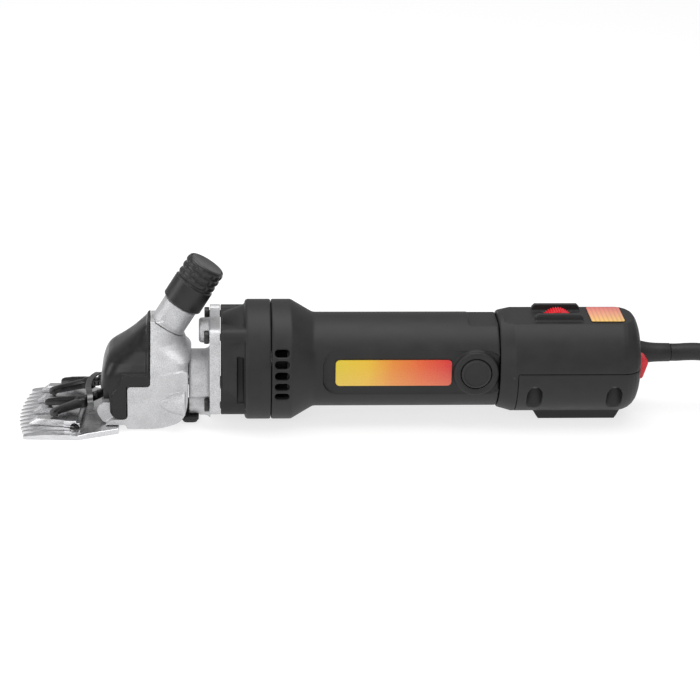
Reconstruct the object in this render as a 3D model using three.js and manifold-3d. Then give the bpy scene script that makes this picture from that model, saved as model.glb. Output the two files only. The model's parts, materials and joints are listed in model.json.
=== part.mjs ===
// Electric sheep shears, in millimetres, +Z up. The comb points along -X and the mains cord leaves along +X.
// The origin is under the middle of the tool, on the surface it rests on.
import * as THREE from 'three';
import { mergeVertices } from 'three/addons/utils/BufferGeometryUtils.js';
import Module from 'manifold-3d';

const wasm = await Module();
wasm.setup();

// ---------------------------------------------------------------- driving dimensions
const GAP = 0.3;
const SHELL_SIDES = 28;
const ROUND_SIDES = 16;
const SMALL_SIDES = 10;
const AXIS_Z = 33;

// comb and cutter
const COMB_TEETH = 13;
const COMB_PITCH = 5.55;
const COMB_TIP_X = -174.3;
const COMB_ROOT_X = -143;
const COMB_KINK_X = -140.4;
const COMB_HEEL_X = -118.6;
const COMB_HALF_WIDTH = 38;
const COMB_HEEL_HALF = 28.7;
const COMB_THICK = 3;
const COMB_SCREW_X = -122.2;
const COMB_SCREW_Y = 13;
const CUTTER_PITCH = 3 * COMB_PITCH;
const CUTTER_THICK = 3.6;
const CUTTER_Z = COMB_THICK + GAP;

// fork, swung a little to the far side
const FORK_REST = -4 * Math.PI / 180;
const PIVOT_X = -98;
const FORK_Z = 14;
const FORK_THICK = 7;
const FORK_FRONT_X = -126.5;
const FORK_FRONT_HALF = 13.5;
const FORK_PRONG_X = -82.2;
const INNER_PIN = [-158, 8.3];
const OUTER_PIN = [-153, 25];
const YOKE_HUB = [-138, 14.5];

// head
const HEAD_FRONT_X = -113.9;
const HEAD_REAR_X = -80.6;
const HEAD_HALF = 25;
const HEAD_ROOM = 18.9;
const HEAD_FLOOR_Z = 6.8;
const STEP_Z = 25.7;
const COVER_HALF = 24.8;
const BARREL_X = -90.8;
const BARREL_R = 10.6;

// tension screw, leaning back
const LEAN = 32 * Math.PI / 180;
const STEM_FOOT = new THREE.Vector3(-92.1, 0, 53.1);
const STEM_R = 10;
const KNOB_START = 15;
const KNOB_LENGTH = 26.6;
const KNOB_R = 11.5;
const PIN_R = 3;

// gearbox
const OUTPUT_Z = 18.5;
const FLANGE_FRONT_X = -68.8;
const FLANGE_REAR_X = -63.1;
const FLANGE_SCREW = 19.75;
const FLANGE_HALF = 24.6;
const FLANGE_LOBE = 5.2;
const NECK_R = 18.5;
const CASE_STEP_X = -49.6;
const CASE_REAR_X = -35.35;
const RING_R = 33.3;
const WALL_X = -40.4;
const GEAR_MODULE = 0.725;
const PINION_TEETH = 10;
const GEAR_TEETH = 30;
const GEAR_FRONT_X = -46.9;
const GEAR_REAR_X = -41.4;
const CRANK_OFFSET = 2;
const CRANK_ANGLE = 30 * Math.PI / 180;

// motor
const MOTOR_FRONT_X = CASE_REAR_X + GAP;
const GRIP_R = 26.1;
const GRIP_REAR_X = 90.2;
const PAD_Y = 22.6;
const MOTOR_BORE_R = 20.8;
const SHAFT_R = 4;
const BRUSH_X = 77.2;
const BEARING_R = 8;
const LABEL_THICK = 0.4;

// rear housing
const REAR_FRONT_X = GRIP_REAR_X + GAP;
const REAR_END_X = 169.6;
const REAR_R = 29.2;
const REAR_TOP = 25.3;
const SPLIT_X = 100;
const SPLIT_Z = AXIS_Z + 1;
const POST_XS = [109.8, 154];
const POST_Y = 22.5;
const DIAL_X = 124.1;
const DIAL_R = 9.4;
const DIAL_Z = AXIS_Z + 19.2;
const ROCKER_Y = -9;
const ROCKER_Z = AXIS_Z - 1.3;

// mains cord, its unused length folded into a hank behind the right-hand end of the tool
const CORD_R = 5;
const CORD_Y = 9;
const CORD_START_X = 190.3;
const CORD_JOIN_X = 280;
const HANK_START_X = 293;
const HANK_NEAR_Y = -3;
const HANK_RUN = 111;
const HANK_BEND = 30;
const HANK_TURNS = 7;
const HANK_RISE = 2.08 * CORD_R;
const PLUG_START_X = HANK_START_X + 10;
const PLUG_LIFT = 3.3;
const PLUG_LENGTH = 38;
const PLUG_THICK = 17;
const PLUG_HALF = 16;

// ---------------------------------------------------------------- materials
const paint = (color, roughness, metalness = 0) =>
  new THREE.MeshStandardMaterial({ color, roughness, metalness });
const castAluminium = paint(0xb4b6b8, 0.55, 0.8);
const polishedSteel = paint(0xc8cacc, 0.25, 1);
const darkSteel = paint(0x3a3b3d, 0.45, 0.9);
const blackPlastic = paint(0x1d1e20, 0.6);
const glossBlack = paint(0x131314, 0.35);
const blackRubber = paint(0x171718, 0.8);
const redPlastic = paint(0xc41320, 0.4);
const orangeLabel = paint(0xf08a1c, 0.45);
const pinkLabel = paint(0xd98a6a, 0.5);
const bronze = paint(0xb08d4a, 0.4, 0.9);
const copper = paint(0xb5662f, 0.4, 0.9);
const carbon = paint(0x2b2b2c, 0.8);
const boardGreen = paint(0x1f6b3a, 0.6);
const bearingSteel = paint(0xa9abad, 0.3, 1);

// ---------------------------------------------------------------- solids
const X_AXIS = new THREE.Vector3(1, 0, 0);
const Y_AXIS = new THREE.Vector3(0, 1, 0);
const Z_AXIS = new THREE.Vector3(0, 0, 1);
const LEAN_AXIS = new THREE.Vector3(Math.sin(LEAN), 0, Math.cos(LEAN));

// A closed three.js geometry as a solid that can be joined and cut.
function solid(geometry) {
  const bare = geometry.clone();
  bare.deleteAttribute('normal');
  bare.deleteAttribute('uv');
  const merged = mergeVertices(bare, 1e-3);
  const corners = merged.index.array;
  const kept = [];
  for (let i = 0; i < corners.length; i += 3) {
    const [a, b, c] = corners.subarray(i, i + 3);
    if (a !== b && b !== c && c !== a) kept.push(a, b, c);
  }
  return new wasm.Manifold(new wasm.Mesh({
    numProp: 3,
    vertProperties: new Float32Array(merged.attributes.position.array),
    triVerts: new Uint32Array(kept),
  }));
}

const join = (first, ...others) => others.reduce((sum, next) => sum.add(next), first);
const cut = (first, ...others) => others.reduce((rest, next) => rest.subtract(next), first);

function block(x0, x1, y0, y1, z0, z1) {
  const box = new THREE.BoxGeometry(x1 - x0, y1 - y0, z1 - z0);
  box.translate((x0 + x1) / 2, (y0 + y1) / 2, (z0 + z1) / 2);
  return solid(box);
}

// A closed outline turned about an axis; each point is [radius, distance along the axis].
function turn(outline, foot, axis, sides = ROUND_SIDES) {
  const points = outline.map(([r, s]) => new THREE.Vector2(r, s));
  if (THREE.ShapeUtils.area(points) < 0) points.reverse();
  if (points.every((point) => point.x > 1e-6)) points.push(points[0].clone());
  const geometry = new THREE.LatheGeometry(points, sides);
  geometry.applyQuaternion(new THREE.Quaternion().setFromUnitVectors(Y_AXIS, axis));
  geometry.translate(foot.x, foot.y, foot.z);
  return solid(geometry);
}

const at = (x, y, z) => new THREE.Vector3(x, y, z);

function rod(radius, foot, axis, from, to, sides = ROUND_SIDES) {
  return turn([[0, from], [radius, from], [radius, to], [0, to]], foot, axis, sides);
}

// Turned about a line along X at height z; each point is [radius, x].
const turnX = (outline, z, sides = SHELL_SIDES, y = 0) => turn(outline, at(0, y, z), X_AXIS, sides);

const ringX = (inner, outer, x0, x1, z, sides = ROUND_SIDES) =>
  turnX([[inner, x0], [outer, x0], [outer, x1], [inner, x1]], z, sides);

function shapeOf(points) {
  return new THREE.Shape(points.map(([a, b]) => new THREE.Vector2(a, b)));
}

// Outlines pushed through along Z, Y or X.
function alongZ(shape, z0, z1, curveSegments = 4) {
  const geometry = new THREE.ExtrudeGeometry(shape, { depth: z1 - z0, bevelEnabled: false, curveSegments });
  geometry.translate(0, 0, z0);
  return solid(geometry);
}

function alongY(shape, y0, y1, curveSegments = 4) {
  const geometry = new THREE.ExtrudeGeometry(shape, { depth: y1 - y0, bevelEnabled: false, curveSegments });
  geometry.rotateX(Math.PI / 2);
  geometry.translate(0, y1, 0);
  return solid(geometry);
}

function alongX(shape, x0, x1, curveSegments = 4) {
  const geometry = new THREE.ExtrudeGeometry(shape, { depth: x1 - x0, bevelEnabled: false, curveSegments });
  geometry.applyMatrix4(new THREE.Matrix4().makeBasis(Y_AXIS, Z_AXIS, X_AXIS));
  geometry.translate(x0, 0, 0);
  return solid(geometry);
}

// A rectangle in the plane of the outline, with round corners.
function roundRect(a0, a1, b0, b1, r) {
  const shape = new THREE.Shape();
  shape.absarc(a1 - r, b0 + r, r, -Math.PI / 2, 0);
  shape.absarc(a1 - r, b1 - r, r, 0, Math.PI / 2);
  shape.absarc(a0 + r, b1 - r, r, Math.PI / 2, Math.PI);
  shape.absarc(a0 + r, b0 + r, r, Math.PI, 1.5 * Math.PI);
  return shape;
}

// A straight bar between two points.
function bar(from, to, width, height) {
  const length = from.distanceTo(to);
  const box = new THREE.BoxGeometry(width, height, length);
  const pose = new THREE.Matrix4().lookAt(to, from, Z_AXIS);
  box.applyMatrix4(pose);
  const middle = from.clone().lerp(to, 0.5);
  box.translate(middle.x, middle.y, middle.z);
  return solid(box);
}

const shears = new THREE.Group();

// The finished sub-part as a named mesh.
function piece(name, body, material, parent = shears) {
  const { numProp, vertProperties, triVerts } = body.getMesh();
  if (numProp !== 3) throw new Error(`${name} has extra vertex data`);
  const geometry = new THREE.BufferGeometry();
  geometry.setAttribute('position', new THREE.BufferAttribute(vertProperties, 3));
  geometry.setIndex(new THREE.BufferAttribute(triVerts, 1));
  geometry.computeVertexNormals();
  const mesh = new THREE.Mesh(geometry, material);
  mesh.name = name;
  parent.add(mesh);
  return mesh;
}

// ---------------------------------------------------------------- comb
function comb() {
  const half = (COMB_TEETH - 1) / 2;
  const points = [[COMB_HEEL_X, -COMB_HEEL_HALF]];
  points.push([COMB_KINK_X, -COMB_HALF_WIDTH]);
  for (let i = -half; i <= half; i += 1) {
    const y = i * COMB_PITCH;
    const outward = Math.abs(i) === half ? 2.2 : 0;
    const tipX = COMB_TIP_X + 4.2 * (i / half) ** 2;
    const low = i === -half ? y - outward : y;
    const high = i === half ? y + outward : y;
    if (i > -half) points.push([COMB_ROOT_X, y - 1.9]);
    points.push([tipX + 1.2, low - 0.9], [tipX, low - 0.4], [tipX, high + 0.4], [tipX + 1.2, high + 0.9]);
    if (i < half) points.push([COMB_ROOT_X, y + 1.9]);
  }
  points.push([COMB_KINK_X, COMB_HALF_WIDTH], [COMB_HEEL_X, COMB_HEEL_HALF]);
  const plate = alongZ(shapeOf(points), 0, COMB_THICK);
  const nose = alongY(shapeOf([[-180, 0.9], [-174.5, 1.1], [-158, 3.1], [-158, 6], [-180, 6]]), -45, 45);
  const slots = [-1, 1].flatMap((side) => {
    const y = side * COMB_SCREW_Y;
    const slot = block(COMB_SCREW_X, -110, y - 2.8, y + 2.8, -1, 5);
    const eye = rod(2.8, at(COMB_SCREW_X, y, 0), Z_AXIS, -1, 5, SMALL_SIDES);
    const cone = [[0, -1], [5.2, -1], [5.2, 0.4], [2.8, 2.4], [0, 2.4]];
    const sink = turn(cone, at(COMB_SCREW_X, y, 0), Z_AXIS, SMALL_SIDES);
    return [slot, eye, sink];
  });
  piece('comb', cut(plate, nose, ...slots), polishedSteel);
  [['near', -1], ['far', 1]].forEach(([label, side]) => {
    const foot = at(COMB_SCREW_X, side * COMB_SCREW_Y, 0);
    const outline = [[0, 0.3], [4.7, 0.3], [4.7, 0.5], [2.2, 2.2], [2.2, 6.2], [0, 6.2]];
    const slotCut = block(foot.x - 5, foot.x + 5, foot.y - 0.6, foot.y + 0.6, 0, 1.2);
    piece(`comb_screw_${label}`, cut(turn(outline, foot, Z_AXIS, SMALL_SIDES), slotCut), darkSteel);
  });
}

// ---------------------------------------------------------------- fork, yokes and cutter, all on one pivot
function fork() {
  const swing = new THREE.Group();
  swing.position.set(PIVOT_X, 0, 0);
  swing.rotation.z = FORK_REST;
  shears.add(swing);
  const place = (name, body, material) => {
    const mesh = piece(name, body, material, swing);
    mesh.position.x = -PIVOT_X;
  };

  const tines = [-1.5, -0.5, 0.5, 1.5].map((i) => {
    const y = i * CUTTER_PITCH;
    const tine = [[-166, y - 1.9], [-166, y + 1.9], [-146, y + 4.2], [-146, y - 4.2]];
    return alongZ(shapeOf(tine), CUTTER_Z, CUTTER_Z + CUTTER_THICK);
  });
  const back = block(-146.5, -138, -30, 30, CUTTER_Z, CUTTER_Z + CUTTER_THICK);
  const top = CUTTER_Z + CUTTER_THICK;
  const slope = shapeOf([[-167, CUTTER_Z], [-166, CUTTER_Z], [-161.4, top], [-161.4, 9], [-167, 9]]);
  place('cutter', cut(join(back, ...tines), alongY(slope, -40, 40)), polishedSteel);

  const outline = [
    [FORK_PRONG_X, -11], [FORK_PRONG_X, -8.5], [-88, -8.5], [-88, 8.5], [FORK_PRONG_X, 8.5],
    [FORK_PRONG_X, 11], [-90, 11], [-104, 8], [-112, 9], [FORK_FRONT_X + 4, FORK_FRONT_HALF],
    [FORK_FRONT_X, FORK_FRONT_HALF], [FORK_FRONT_X, 3.5], [-120, 0], [FORK_FRONT_X, -3.5],
    [FORK_FRONT_X, -FORK_FRONT_HALF], [FORK_FRONT_X + 4, -FORK_FRONT_HALF], [-112, -9], [-104, -8],
    [-90, -11],
  ];
  const plate = alongZ(shapeOf(outline), FORK_Z, FORK_Z + FORK_THICK);
  const bore = rod(4.4, at(PIVOT_X, 0, 0), Z_AXIS, 0, 40, SMALL_SIDES);
  place('fork_body', cut(plate, bore), darkSteel);

  [['near', -1], ['far', 1]].forEach(([label, side]) => {
    const hub = at(YOKE_HUB[0], side * YOKE_HUB[1], 12.4);
    const shank = at(FORK_FRONT_X - GAP - 0.9, side * 9.2, 16.6);
    const inner = at(INNER_PIN[0], side * INNER_PIN[1], 9.6);
    const outer = at(OUTER_PIN[0], side * OUTER_PIN[1], 9.6);
    const pins = [inner, outer].map((tip) =>
      rod(2.2, at(tip.x, tip.y, 0), Z_AXIS, top + GAP, 11.6, SMALL_SIDES));
    const knuckle = rod(4.2, at(hub.x, hub.y, 0), Z_AXIS, 9.6, 15.2, SMALL_SIDES);
    const fingers = [bar(hub, inner, 4.4, 4.4), bar(hub, outer, 4.4, 4.4)];
    const front = block(-200, FORK_FRONT_X - GAP, -60, 60, 0, 60);
    const body = join(bar(hub, shank, 5, 5), knuckle, ...fingers, ...pins).intersect(front);
    place(`yoke_${label}`, body, darkSteel);
  });

  const arch = new THREE.Shape();
  arch.moveTo(-20, 12.6);
  arch.quadraticCurveTo(-20, 17.6, -14.5, 17.6);
  arch.lineTo(14.5, 17.6);
  arch.quadraticCurveTo(20, 17.6, 20, 12.6);
  arch.lineTo(21, 12.6);
  arch.quadraticCurveTo(21, 18.8, 14.5, 18.8);
  arch.lineTo(-14.5, 18.8);
  arch.quadraticCurveTo(-21, 18.8, -21, 12.6);
  place('yoke_spring', alongX(arch, -139.5, -133.5, 5), bearingSteel);
}

// ---------------------------------------------------------------- head casting and its cover
function head() {
  const boxOutline = [
    [-126, 3.6], [-125.4, 3.3], [-114.6, 3.3], [-114.2, 0.4], [-102, 0.4], [-94, 1.8], [-86, 4.4],
    [-82.6, 8], [-81, 14], [HEAD_REAR_X, 20], [HEAD_REAR_X, STEP_Z], [HEAD_FRONT_X, STEP_Z],
    [HEAD_FRONT_X, HEAD_FLOOR_Z], [-122.4, HEAD_FLOOR_Z - 0.1],
  ];
  const cheeks = [[-127, 3.3], [-130.5, 8.6], [-130.5, 12.5], [-127, 15.5], [-112, 15.5], [-112, 3.3]];
  const body = [
    alongY(shapeOf(boxOutline), -HEAD_HALF, HEAD_HALF),
    alongY(shapeOf(cheeks), -20.8, 20.8),
    rod(STEM_R, STEM_FOOT, LEAN_AXIS, -6, KNOB_START - 0.4, ROUND_SIDES),
    rod(6.5, STEM_FOOT, LEAN_AXIS, -29, 0, SMALL_SIDES),
  ];
  // The barrel runs out forwards to the cover's rear rim and back to the neck.
  const rim = [[-24.8, 24], [-24.8, 31.4], [-19.5, 43], [-9.5, 58], [9.5, 58], [19.5, 43], [24.8, 31.4],
    [24.8, 24]];
  const back = [[-24, 24], [-22.6, 32], [-14, 38.6], [14, 38.6], [22.6, 32], [24, 24]];
  body.push(wasm.Manifold.hull([
    alongX(shapeOf(rim), -101.2, -100.8),
    alongX(shapeOf(back), HEAD_REAR_X - 0.8, HEAD_REAR_X - 0.2),
    rod(BARREL_R, at(BARREL_X, 0, 0), Z_AXIS, 24, 52, ROUND_SIDES),
  ]));
  [-1, 1].forEach((side) => {
    const bullet = [[0, -96.3], [2.2, -95.4], [6.4, -88], [7.4, -83], [7.4, -82.2], [0, -82.2]];
    body.push(turnX(bullet, 15.5, 24, side * 23));
  });
  const pinBore = rod(PIN_R + 0.35, STEM_FOOT, LEAN_AXIS, -60, 40, SMALL_SIDES);
  const crankRoom = block(-90, -70, -14, 14, 11.5, 26);
  const room = block(-140, -84, -HEAD_ROOM, HEAD_ROOM, HEAD_FLOOR_Z, 23.4);
  const upperRoom = block(-140, -102.4, -HEAD_ROOM, HEAD_ROOM, 20, 26);
  const plugSeat = block(-85, -70, -15.3, 15.3, -2, 4.8);
  const neckRoom = block(HEAD_REAR_X, -60, -30, 30, 0, 39);
  const screwHoles = [-1, 1].map((side) =>
    rod(2.5, at(COMB_SCREW_X, side * COMB_SCREW_Y, 0), Z_AXIS, 0, 20, SMALL_SIDES));
  const rooms = [pinBore, crankRoom, room, upperRoom, plugSeat, neckRoom];
  piece('head_casting', cut(join(...body), ...rooms, ...screwHoles), castAluminium);

  const foot = HEAD_FLOOR_Z + GAP;
  const post = [[0, foot], [6.5, foot], [6.5, 9], [4, 10], [4, 21], [2.6, 22.8], [0, 22.8]];
  piece('pivot_post', turn(post, at(PIVOT_X, 0, 0), Z_AXIS, SMALL_SIDES), polishedSteel);

  const side = [[-102.2, 59.6], [-111.8, 51], [-123.6, 42.2], [-126.4, 37.5], [-128.9, 24], [-128.9, 19.5],
    [-124.2, 9.5], [-120, foot], [HEAD_FRONT_X - GAP, foot], [HEAD_FRONT_X - GAP, STEP_Z + GAP],
    [-101.5, STEP_Z + GAP], [-101.5, 57.5]];
  const frontView = [[-COVER_HALF, 0], [COVER_HALF, 0], [COVER_HALF, 32.4], [19.5, 44], [9.5, 60.5],
    [-9.5, 60.5], [-19.5, 44], [-COVER_HALF, 32.4]];
  const plan = new THREE.Shape();
  plan.moveTo(-90, -COVER_HALF);
  plan.lineTo(-90, COVER_HALF);
  plan.lineTo(-121.5, COVER_HALF);
  plan.quadraticCurveTo(-126.4, COVER_HALF, -127.8, 17);
  plan.quadraticCurveTo(-130.4, 0, -127.8, -17);
  plan.quadraticCurveTo(-126.4, -COVER_HALF, -121.5, -COVER_HALF);
  const outer = alongY(shapeOf(side), -COVER_HALF, COVER_HALF)
    .intersect(alongX(shapeOf(frontView), -140, -90))
    .intersect(alongZ(plan, 0, 70, 6));
  const innerSide = [[-99, 55.5], [-103, 55.8], [-112.6, 48.4], [-121.8, 41], [-124.2, 36.8], [-126.5, 24],
    [-126.5, 0], [-99, 0]];
  const innerFront = [[-22.3, -5], [22.3, -5], [22.3, 31.9], [17.4, 42.6], [7.6, 58], [-7.6, 58],
    [-17.4, 42.6], [-22.3, 31.9]];
  const inner = alongY(shapeOf(innerSide), -22.3, 22.3).intersect(alongX(shapeOf(innerFront), -140, -90));
  const mouth = alongX(roundRect(-20.2, 20.2, -20, 23.2, 4), -140, -120);
  const barrelRoom = rod(BARREL_R + GAP, at(BARREL_X, 0, 0), Z_AXIS, 20, 70, ROUND_SIDES);
  const stemRoom = rod(STEM_R + GAP, STEM_FOOT, LEAN_AXIS, -7, 40, ROUND_SIDES);
  const tubeRoom = rod(6.5 + GAP, STEM_FOOT, LEAN_AXIS, -30, 0, SMALL_SIDES);
  const cheekRoom = block(-135, -110, -21.2, 21.2, 0, 16);
  piece('head_cover', cut(outer, inner, mouth, barrelRoom, stemRoom, tubeRoom, cheekRoom), glossBlack);

  const plug = alongZ(roundRect(-84.6, -74.9, -15, 15, 3), 0.6, 4.5);
  piece('access_plug', plug, blackRubber);
}

// ---------------------------------------------------------------- tension screw
function tension() {
  const end = KNOB_START + KNOB_LENGTH;
  const waist = KNOB_START + 12;
  const outline = [[0, waist], [3.5, waist], [3.5, KNOB_START], [10.6, KNOB_START], [KNOB_R, KNOB_START + 1],
    [KNOB_R, waist], [KNOB_R - 1, waist + 0.6], [KNOB_R - 1, waist + 1.6], [KNOB_R, waist + 2.2],
    [KNOB_R, end - 1.2], [KNOB_R - 1.4, end], [9.9, end], [9.9, end - 1.4], [0, end - 1.4]];
  const grooves = [];
  const COUNT = 18;
  for (let i = 0; i < COUNT; i += 1) {
    const angle = i * 2 * Math.PI / COUNT;
    const around = Math.cos(angle);
    const across = new THREE.Vector3(around * LEAN_AXIS.z, Math.sin(angle), -around * LEAN_AXIS.x);
    const foot = STEM_FOOT.clone().addScaledVector(across, KNOB_R + 0.5);
    grooves.push(rod(1.1, foot, LEAN_AXIS, KNOB_START + 15.6, end - 2.4, 6));
  }
  piece('tension_knob', cut(turn(outline, STEM_FOOT, LEAN_AXIS, ROUND_SIDES), ...grooves), blackPlastic);
  piece('knob_cap', rod(9.6, STEM_FOOT, LEAN_AXIS, end - 1.1, end + 0.2, ROUND_SIDES), darkSteel);
  const pinFoot = (FORK_Z + FORK_THICK + 1 - STEM_FOOT.z) / LEAN_AXIS.z + PIN_R * Math.tan(LEAN);
  const pinTop = KNOB_START + 9;
  const pin = [[0, pinFoot - 0.2], [1.6, pinFoot], [PIN_R, pinFoot + 1.6], [PIN_R, pinTop], [0, pinTop]];
  piece('tension_pin', turn(pin, STEM_FOOT, LEAN_AXIS, SMALL_SIDES), polishedSteel);
}

// ---------------------------------------------------------------- gearbox
// The square flange outline with a round lobe at each screw, as seen along X.
function lobed(x0, x1) {
  const reach = FLANGE_SCREW;
  const half = FLANGE_HALF;
  const centre = alongX(roundRect(-half, half, AXIS_Z - half, AXIS_Z + half, FLANGE_LOBE), x0, x1);
  const lobes = [[-1, -1], [-1, 1], [1, -1], [1, 1]].map(([a, b]) =>
    rod(FLANGE_LOBE, at(0, a * reach, AXIS_Z + b * reach), X_AXIS, x0, x1, ROUND_SIDES));
  return join(centre, ...lobes);
}

const FLANGE_CORNERS = [['near_low', -1, -1], ['near_high', -1, 1], ['far_low', 1, -1], ['far_high', 1, 1]];

function gearOutline(teeth, bore) {
  const pitchR = GEAR_MODULE * teeth / 2;
  const tip = pitchR + 0.55;
  const root = pitchR - 0.85;
  const step = 2 * Math.PI / teeth;
  const shape = new THREE.Shape();
  for (let i = 0; i < teeth; i += 1) {
    const flanks = [[root, -0.52 / pitchR], [tip, -0.26 / tip], [tip, 0.26 / tip], [root, 0.52 / pitchR]];
    flanks.forEach(([r, turned], k) => {
      const a = i * step + turned;
      if (i === 0 && k === 0) shape.moveTo(r * Math.cos(a), r * Math.sin(a));
      else shape.lineTo(r * Math.cos(a), r * Math.sin(a));
    });
  }
  if (bore > 0) {
    const hole = new THREE.Path();
    hole.absarc(0, 0, bore, 0, 2 * Math.PI, true);
    shape.holes.push(hole);
  }
  return shape;
}

// A gear about a line along X; the first tooth points at the given angle from +Y towards +Z.
function gear(teeth, bore, x0, x1, z, phase) {
  const geometry = new THREE.ExtrudeGeometry(gearOutline(teeth, bore), {
    depth: x1 - x0, bevelEnabled: false, curveSegments: 10,
  });
  geometry.rotateZ(phase);
  geometry.applyMatrix4(new THREE.Matrix4().makeBasis(Y_AXIS, Z_AXIS, X_AXIS));
  geometry.translate(x0, 0, z);
  return solid(geometry);
}

function gearbox() {
  const screwHoles = FLANGE_CORNERS.map(([, a, b]) =>
    rod(2.3, at(0, a * FLANGE_SCREW, AXIS_Z + b * FLANGE_SCREW), X_AXIS, -72, -51.5, SMALL_SIDES));

  const plate = lobed(FLANGE_FRONT_X, FLANGE_REAR_X);
  const neck = turnX([[0, -80.3], [NECK_R - 0.6, -80.3], [NECK_R, -79.4], [NECK_R, -66], [0, -66]], 19.6);
  const boss = rod(7, at(0, 0, AXIS_Z + 17), X_AXIS, -74.8, -66, ROUND_SIDES);
  const crankRoom = rod(11, at(0, 0, OUTPUT_Z), X_AXIS, -90, -71.5, ROUND_SIDES);
  const shaftHole = rod(4.2, at(0, 0, OUTPUT_Z), X_AXIS, -90, -50, SMALL_SIDES);
  const plugSeat = block(-85, -74.6, -15.3, 15.3, -2, 4.8);
  const headRooms = FLANGE_CORNERS.map(([, a, b]) =>
    rod(4.2, at(0, a * FLANGE_SCREW, AXIS_Z + b * FLANGE_SCREW), X_AXIS, -90, FLANGE_FRONT_X, SMALL_SIDES));
  const rooms = [crankRoom, shaftHole, plugSeat, ...headRooms, ...screwHoles];
  piece('gearbox_cover', cut(join(plate, neck, boss), ...rooms), castAluminium);

  FLANGE_CORNERS.forEach(([label, a, b]) => {
    const foot = at(0, a * FLANGE_SCREW, AXIS_Z + b * FLANGE_SCREW);
    const top = FLANGE_FRONT_X - GAP;
    const outline = [[0, -53], [2, -53], [2, top], [3.6, top], [3.6, top - 2.2], [3.2, top - 2.6],
      [0, top - 2.6]];
    const socket = rod(1.7, foot, X_AXIS, top - 4, top - 1.2, 6);
    piece(`flange_screw_${label}`, cut(turn(outline, foot, X_AXIS, SMALL_SIDES), socket), darkSteel);
  });

  const caseFront = FLANGE_REAR_X + GAP;
  const shell = [
    lobed(caseFront, CASE_STEP_X + 1),
    turnX([[0, CASE_STEP_X], [RING_R - 0.8, CASE_STEP_X], [RING_R, CASE_STEP_X + 0.8], [RING_R, CASE_REAR_X],
      [0, CASE_REAR_X]], AXIS_Z),
    turnX([[0, caseFront + 1], [26, caseFront + 1], [30.6, CASE_STEP_X + 0.5], [0, CASE_STEP_X + 0.5]],
      AXIS_Z),
  ];
  const gearRoom = [
    rod(12.2, at(0, 0, OUTPUT_Z), X_AXIS, CASE_STEP_X + 2.2, WALL_X, ROUND_SIDES),
    rod(12, at(0, 0, AXIS_Z), X_AXIS, CASE_STEP_X + 2.2, WALL_X, ROUND_SIDES),
  ];
  const frontBearing = rod(9.5 + GAP, at(0, 0, OUTPUT_Z), X_AXIS, caseFront - 1, -55.5, ROUND_SIDES);
  const shaftBore = rod(3.4, at(0, 0, OUTPUT_Z), X_AXIS, -60, -30, SMALL_SIDES);
  const motorBearing = rod(BEARING_R + GAP, at(0, 0, AXIS_Z), X_AXIS, WALL_X - 1, -30, ROUND_SIDES);
  const bushBore = rod(4.5 + GAP, at(0, 0, OUTPUT_Z), X_AXIS, WALL_X - 1, -30, SMALL_SIDES);
  const pocket = block(-53.6, -50.2, -40, -23.4, AXIS_Z - 17, AXIS_Z + 11);
  const floor = block(-80, -20, -30, 30, -5, 0);
  const bores = [frontBearing, shaftBore, motorBearing, bushBore, ...screwHoles];
  piece('gear_case', cut(join(...shell), ...gearRoom, ...bores, pocket, floor), blackPlastic);

  // The crank pin sits off the shaft line, turned so that it stands where the swung fork holds it.
  const pinY = -CRANK_OFFSET * Math.sin(CRANK_ANGLE);
  const pinZ = OUTPUT_Z + CRANK_OFFSET * Math.cos(CRANK_ANGLE);
  const shaft = join(
    turnX([[0, -76.6], [7, -76.6], [7, -72.4], [3, -72.4], [3, -36], [0, -36]], OUTPUT_Z, ROUND_SIDES),
    rod(2, at(0, pinY, pinZ), X_AXIS, -86.4, -76, SMALL_SIDES),
  );
  piece('output_shaft', shaft, polishedSteel);
  const roller = [[2.3, -86], [3.6, -86], [3.6, -81.6], [2.3, -81.6]];
  piece('crank_roller', turn(roller, at(0, pinY, pinZ), X_AXIS, SMALL_SIDES), bronze);
  const wheel = gear(GEAR_TEETH, 3.3, GEAR_FRONT_X, GEAR_REAR_X, OUTPUT_Z, Math.PI / 2);
  piece('output_gear', wheel, darkSteel);
  piece('output_bearing', ringX(3.3, 9.5, caseFront + 0.6, caseFront + 6.6, OUTPUT_Z), bearingSteel);
  piece('output_bush', ringX(3.3, 4.5, WALL_X, CASE_REAR_X - 0.6, OUTPUT_Z, SMALL_SIDES), bronze);
}

// ---------------------------------------------------------------- motor
// Part of a ring about a line along X, between two angles from +Y towards +Z.
function sector(inner, outer, from, to, x0, x1) {
  const shape = new THREE.Shape();
  shape.absarc(0, 0, outer, from, to, false);
  shape.absarc(0, 0, inner, to, from, true);
  return alongX(shape, x0, x1, 10).translate(0, 0, AXIS_Z);
}

const degrees = (value) => value * Math.PI / 180;

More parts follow.
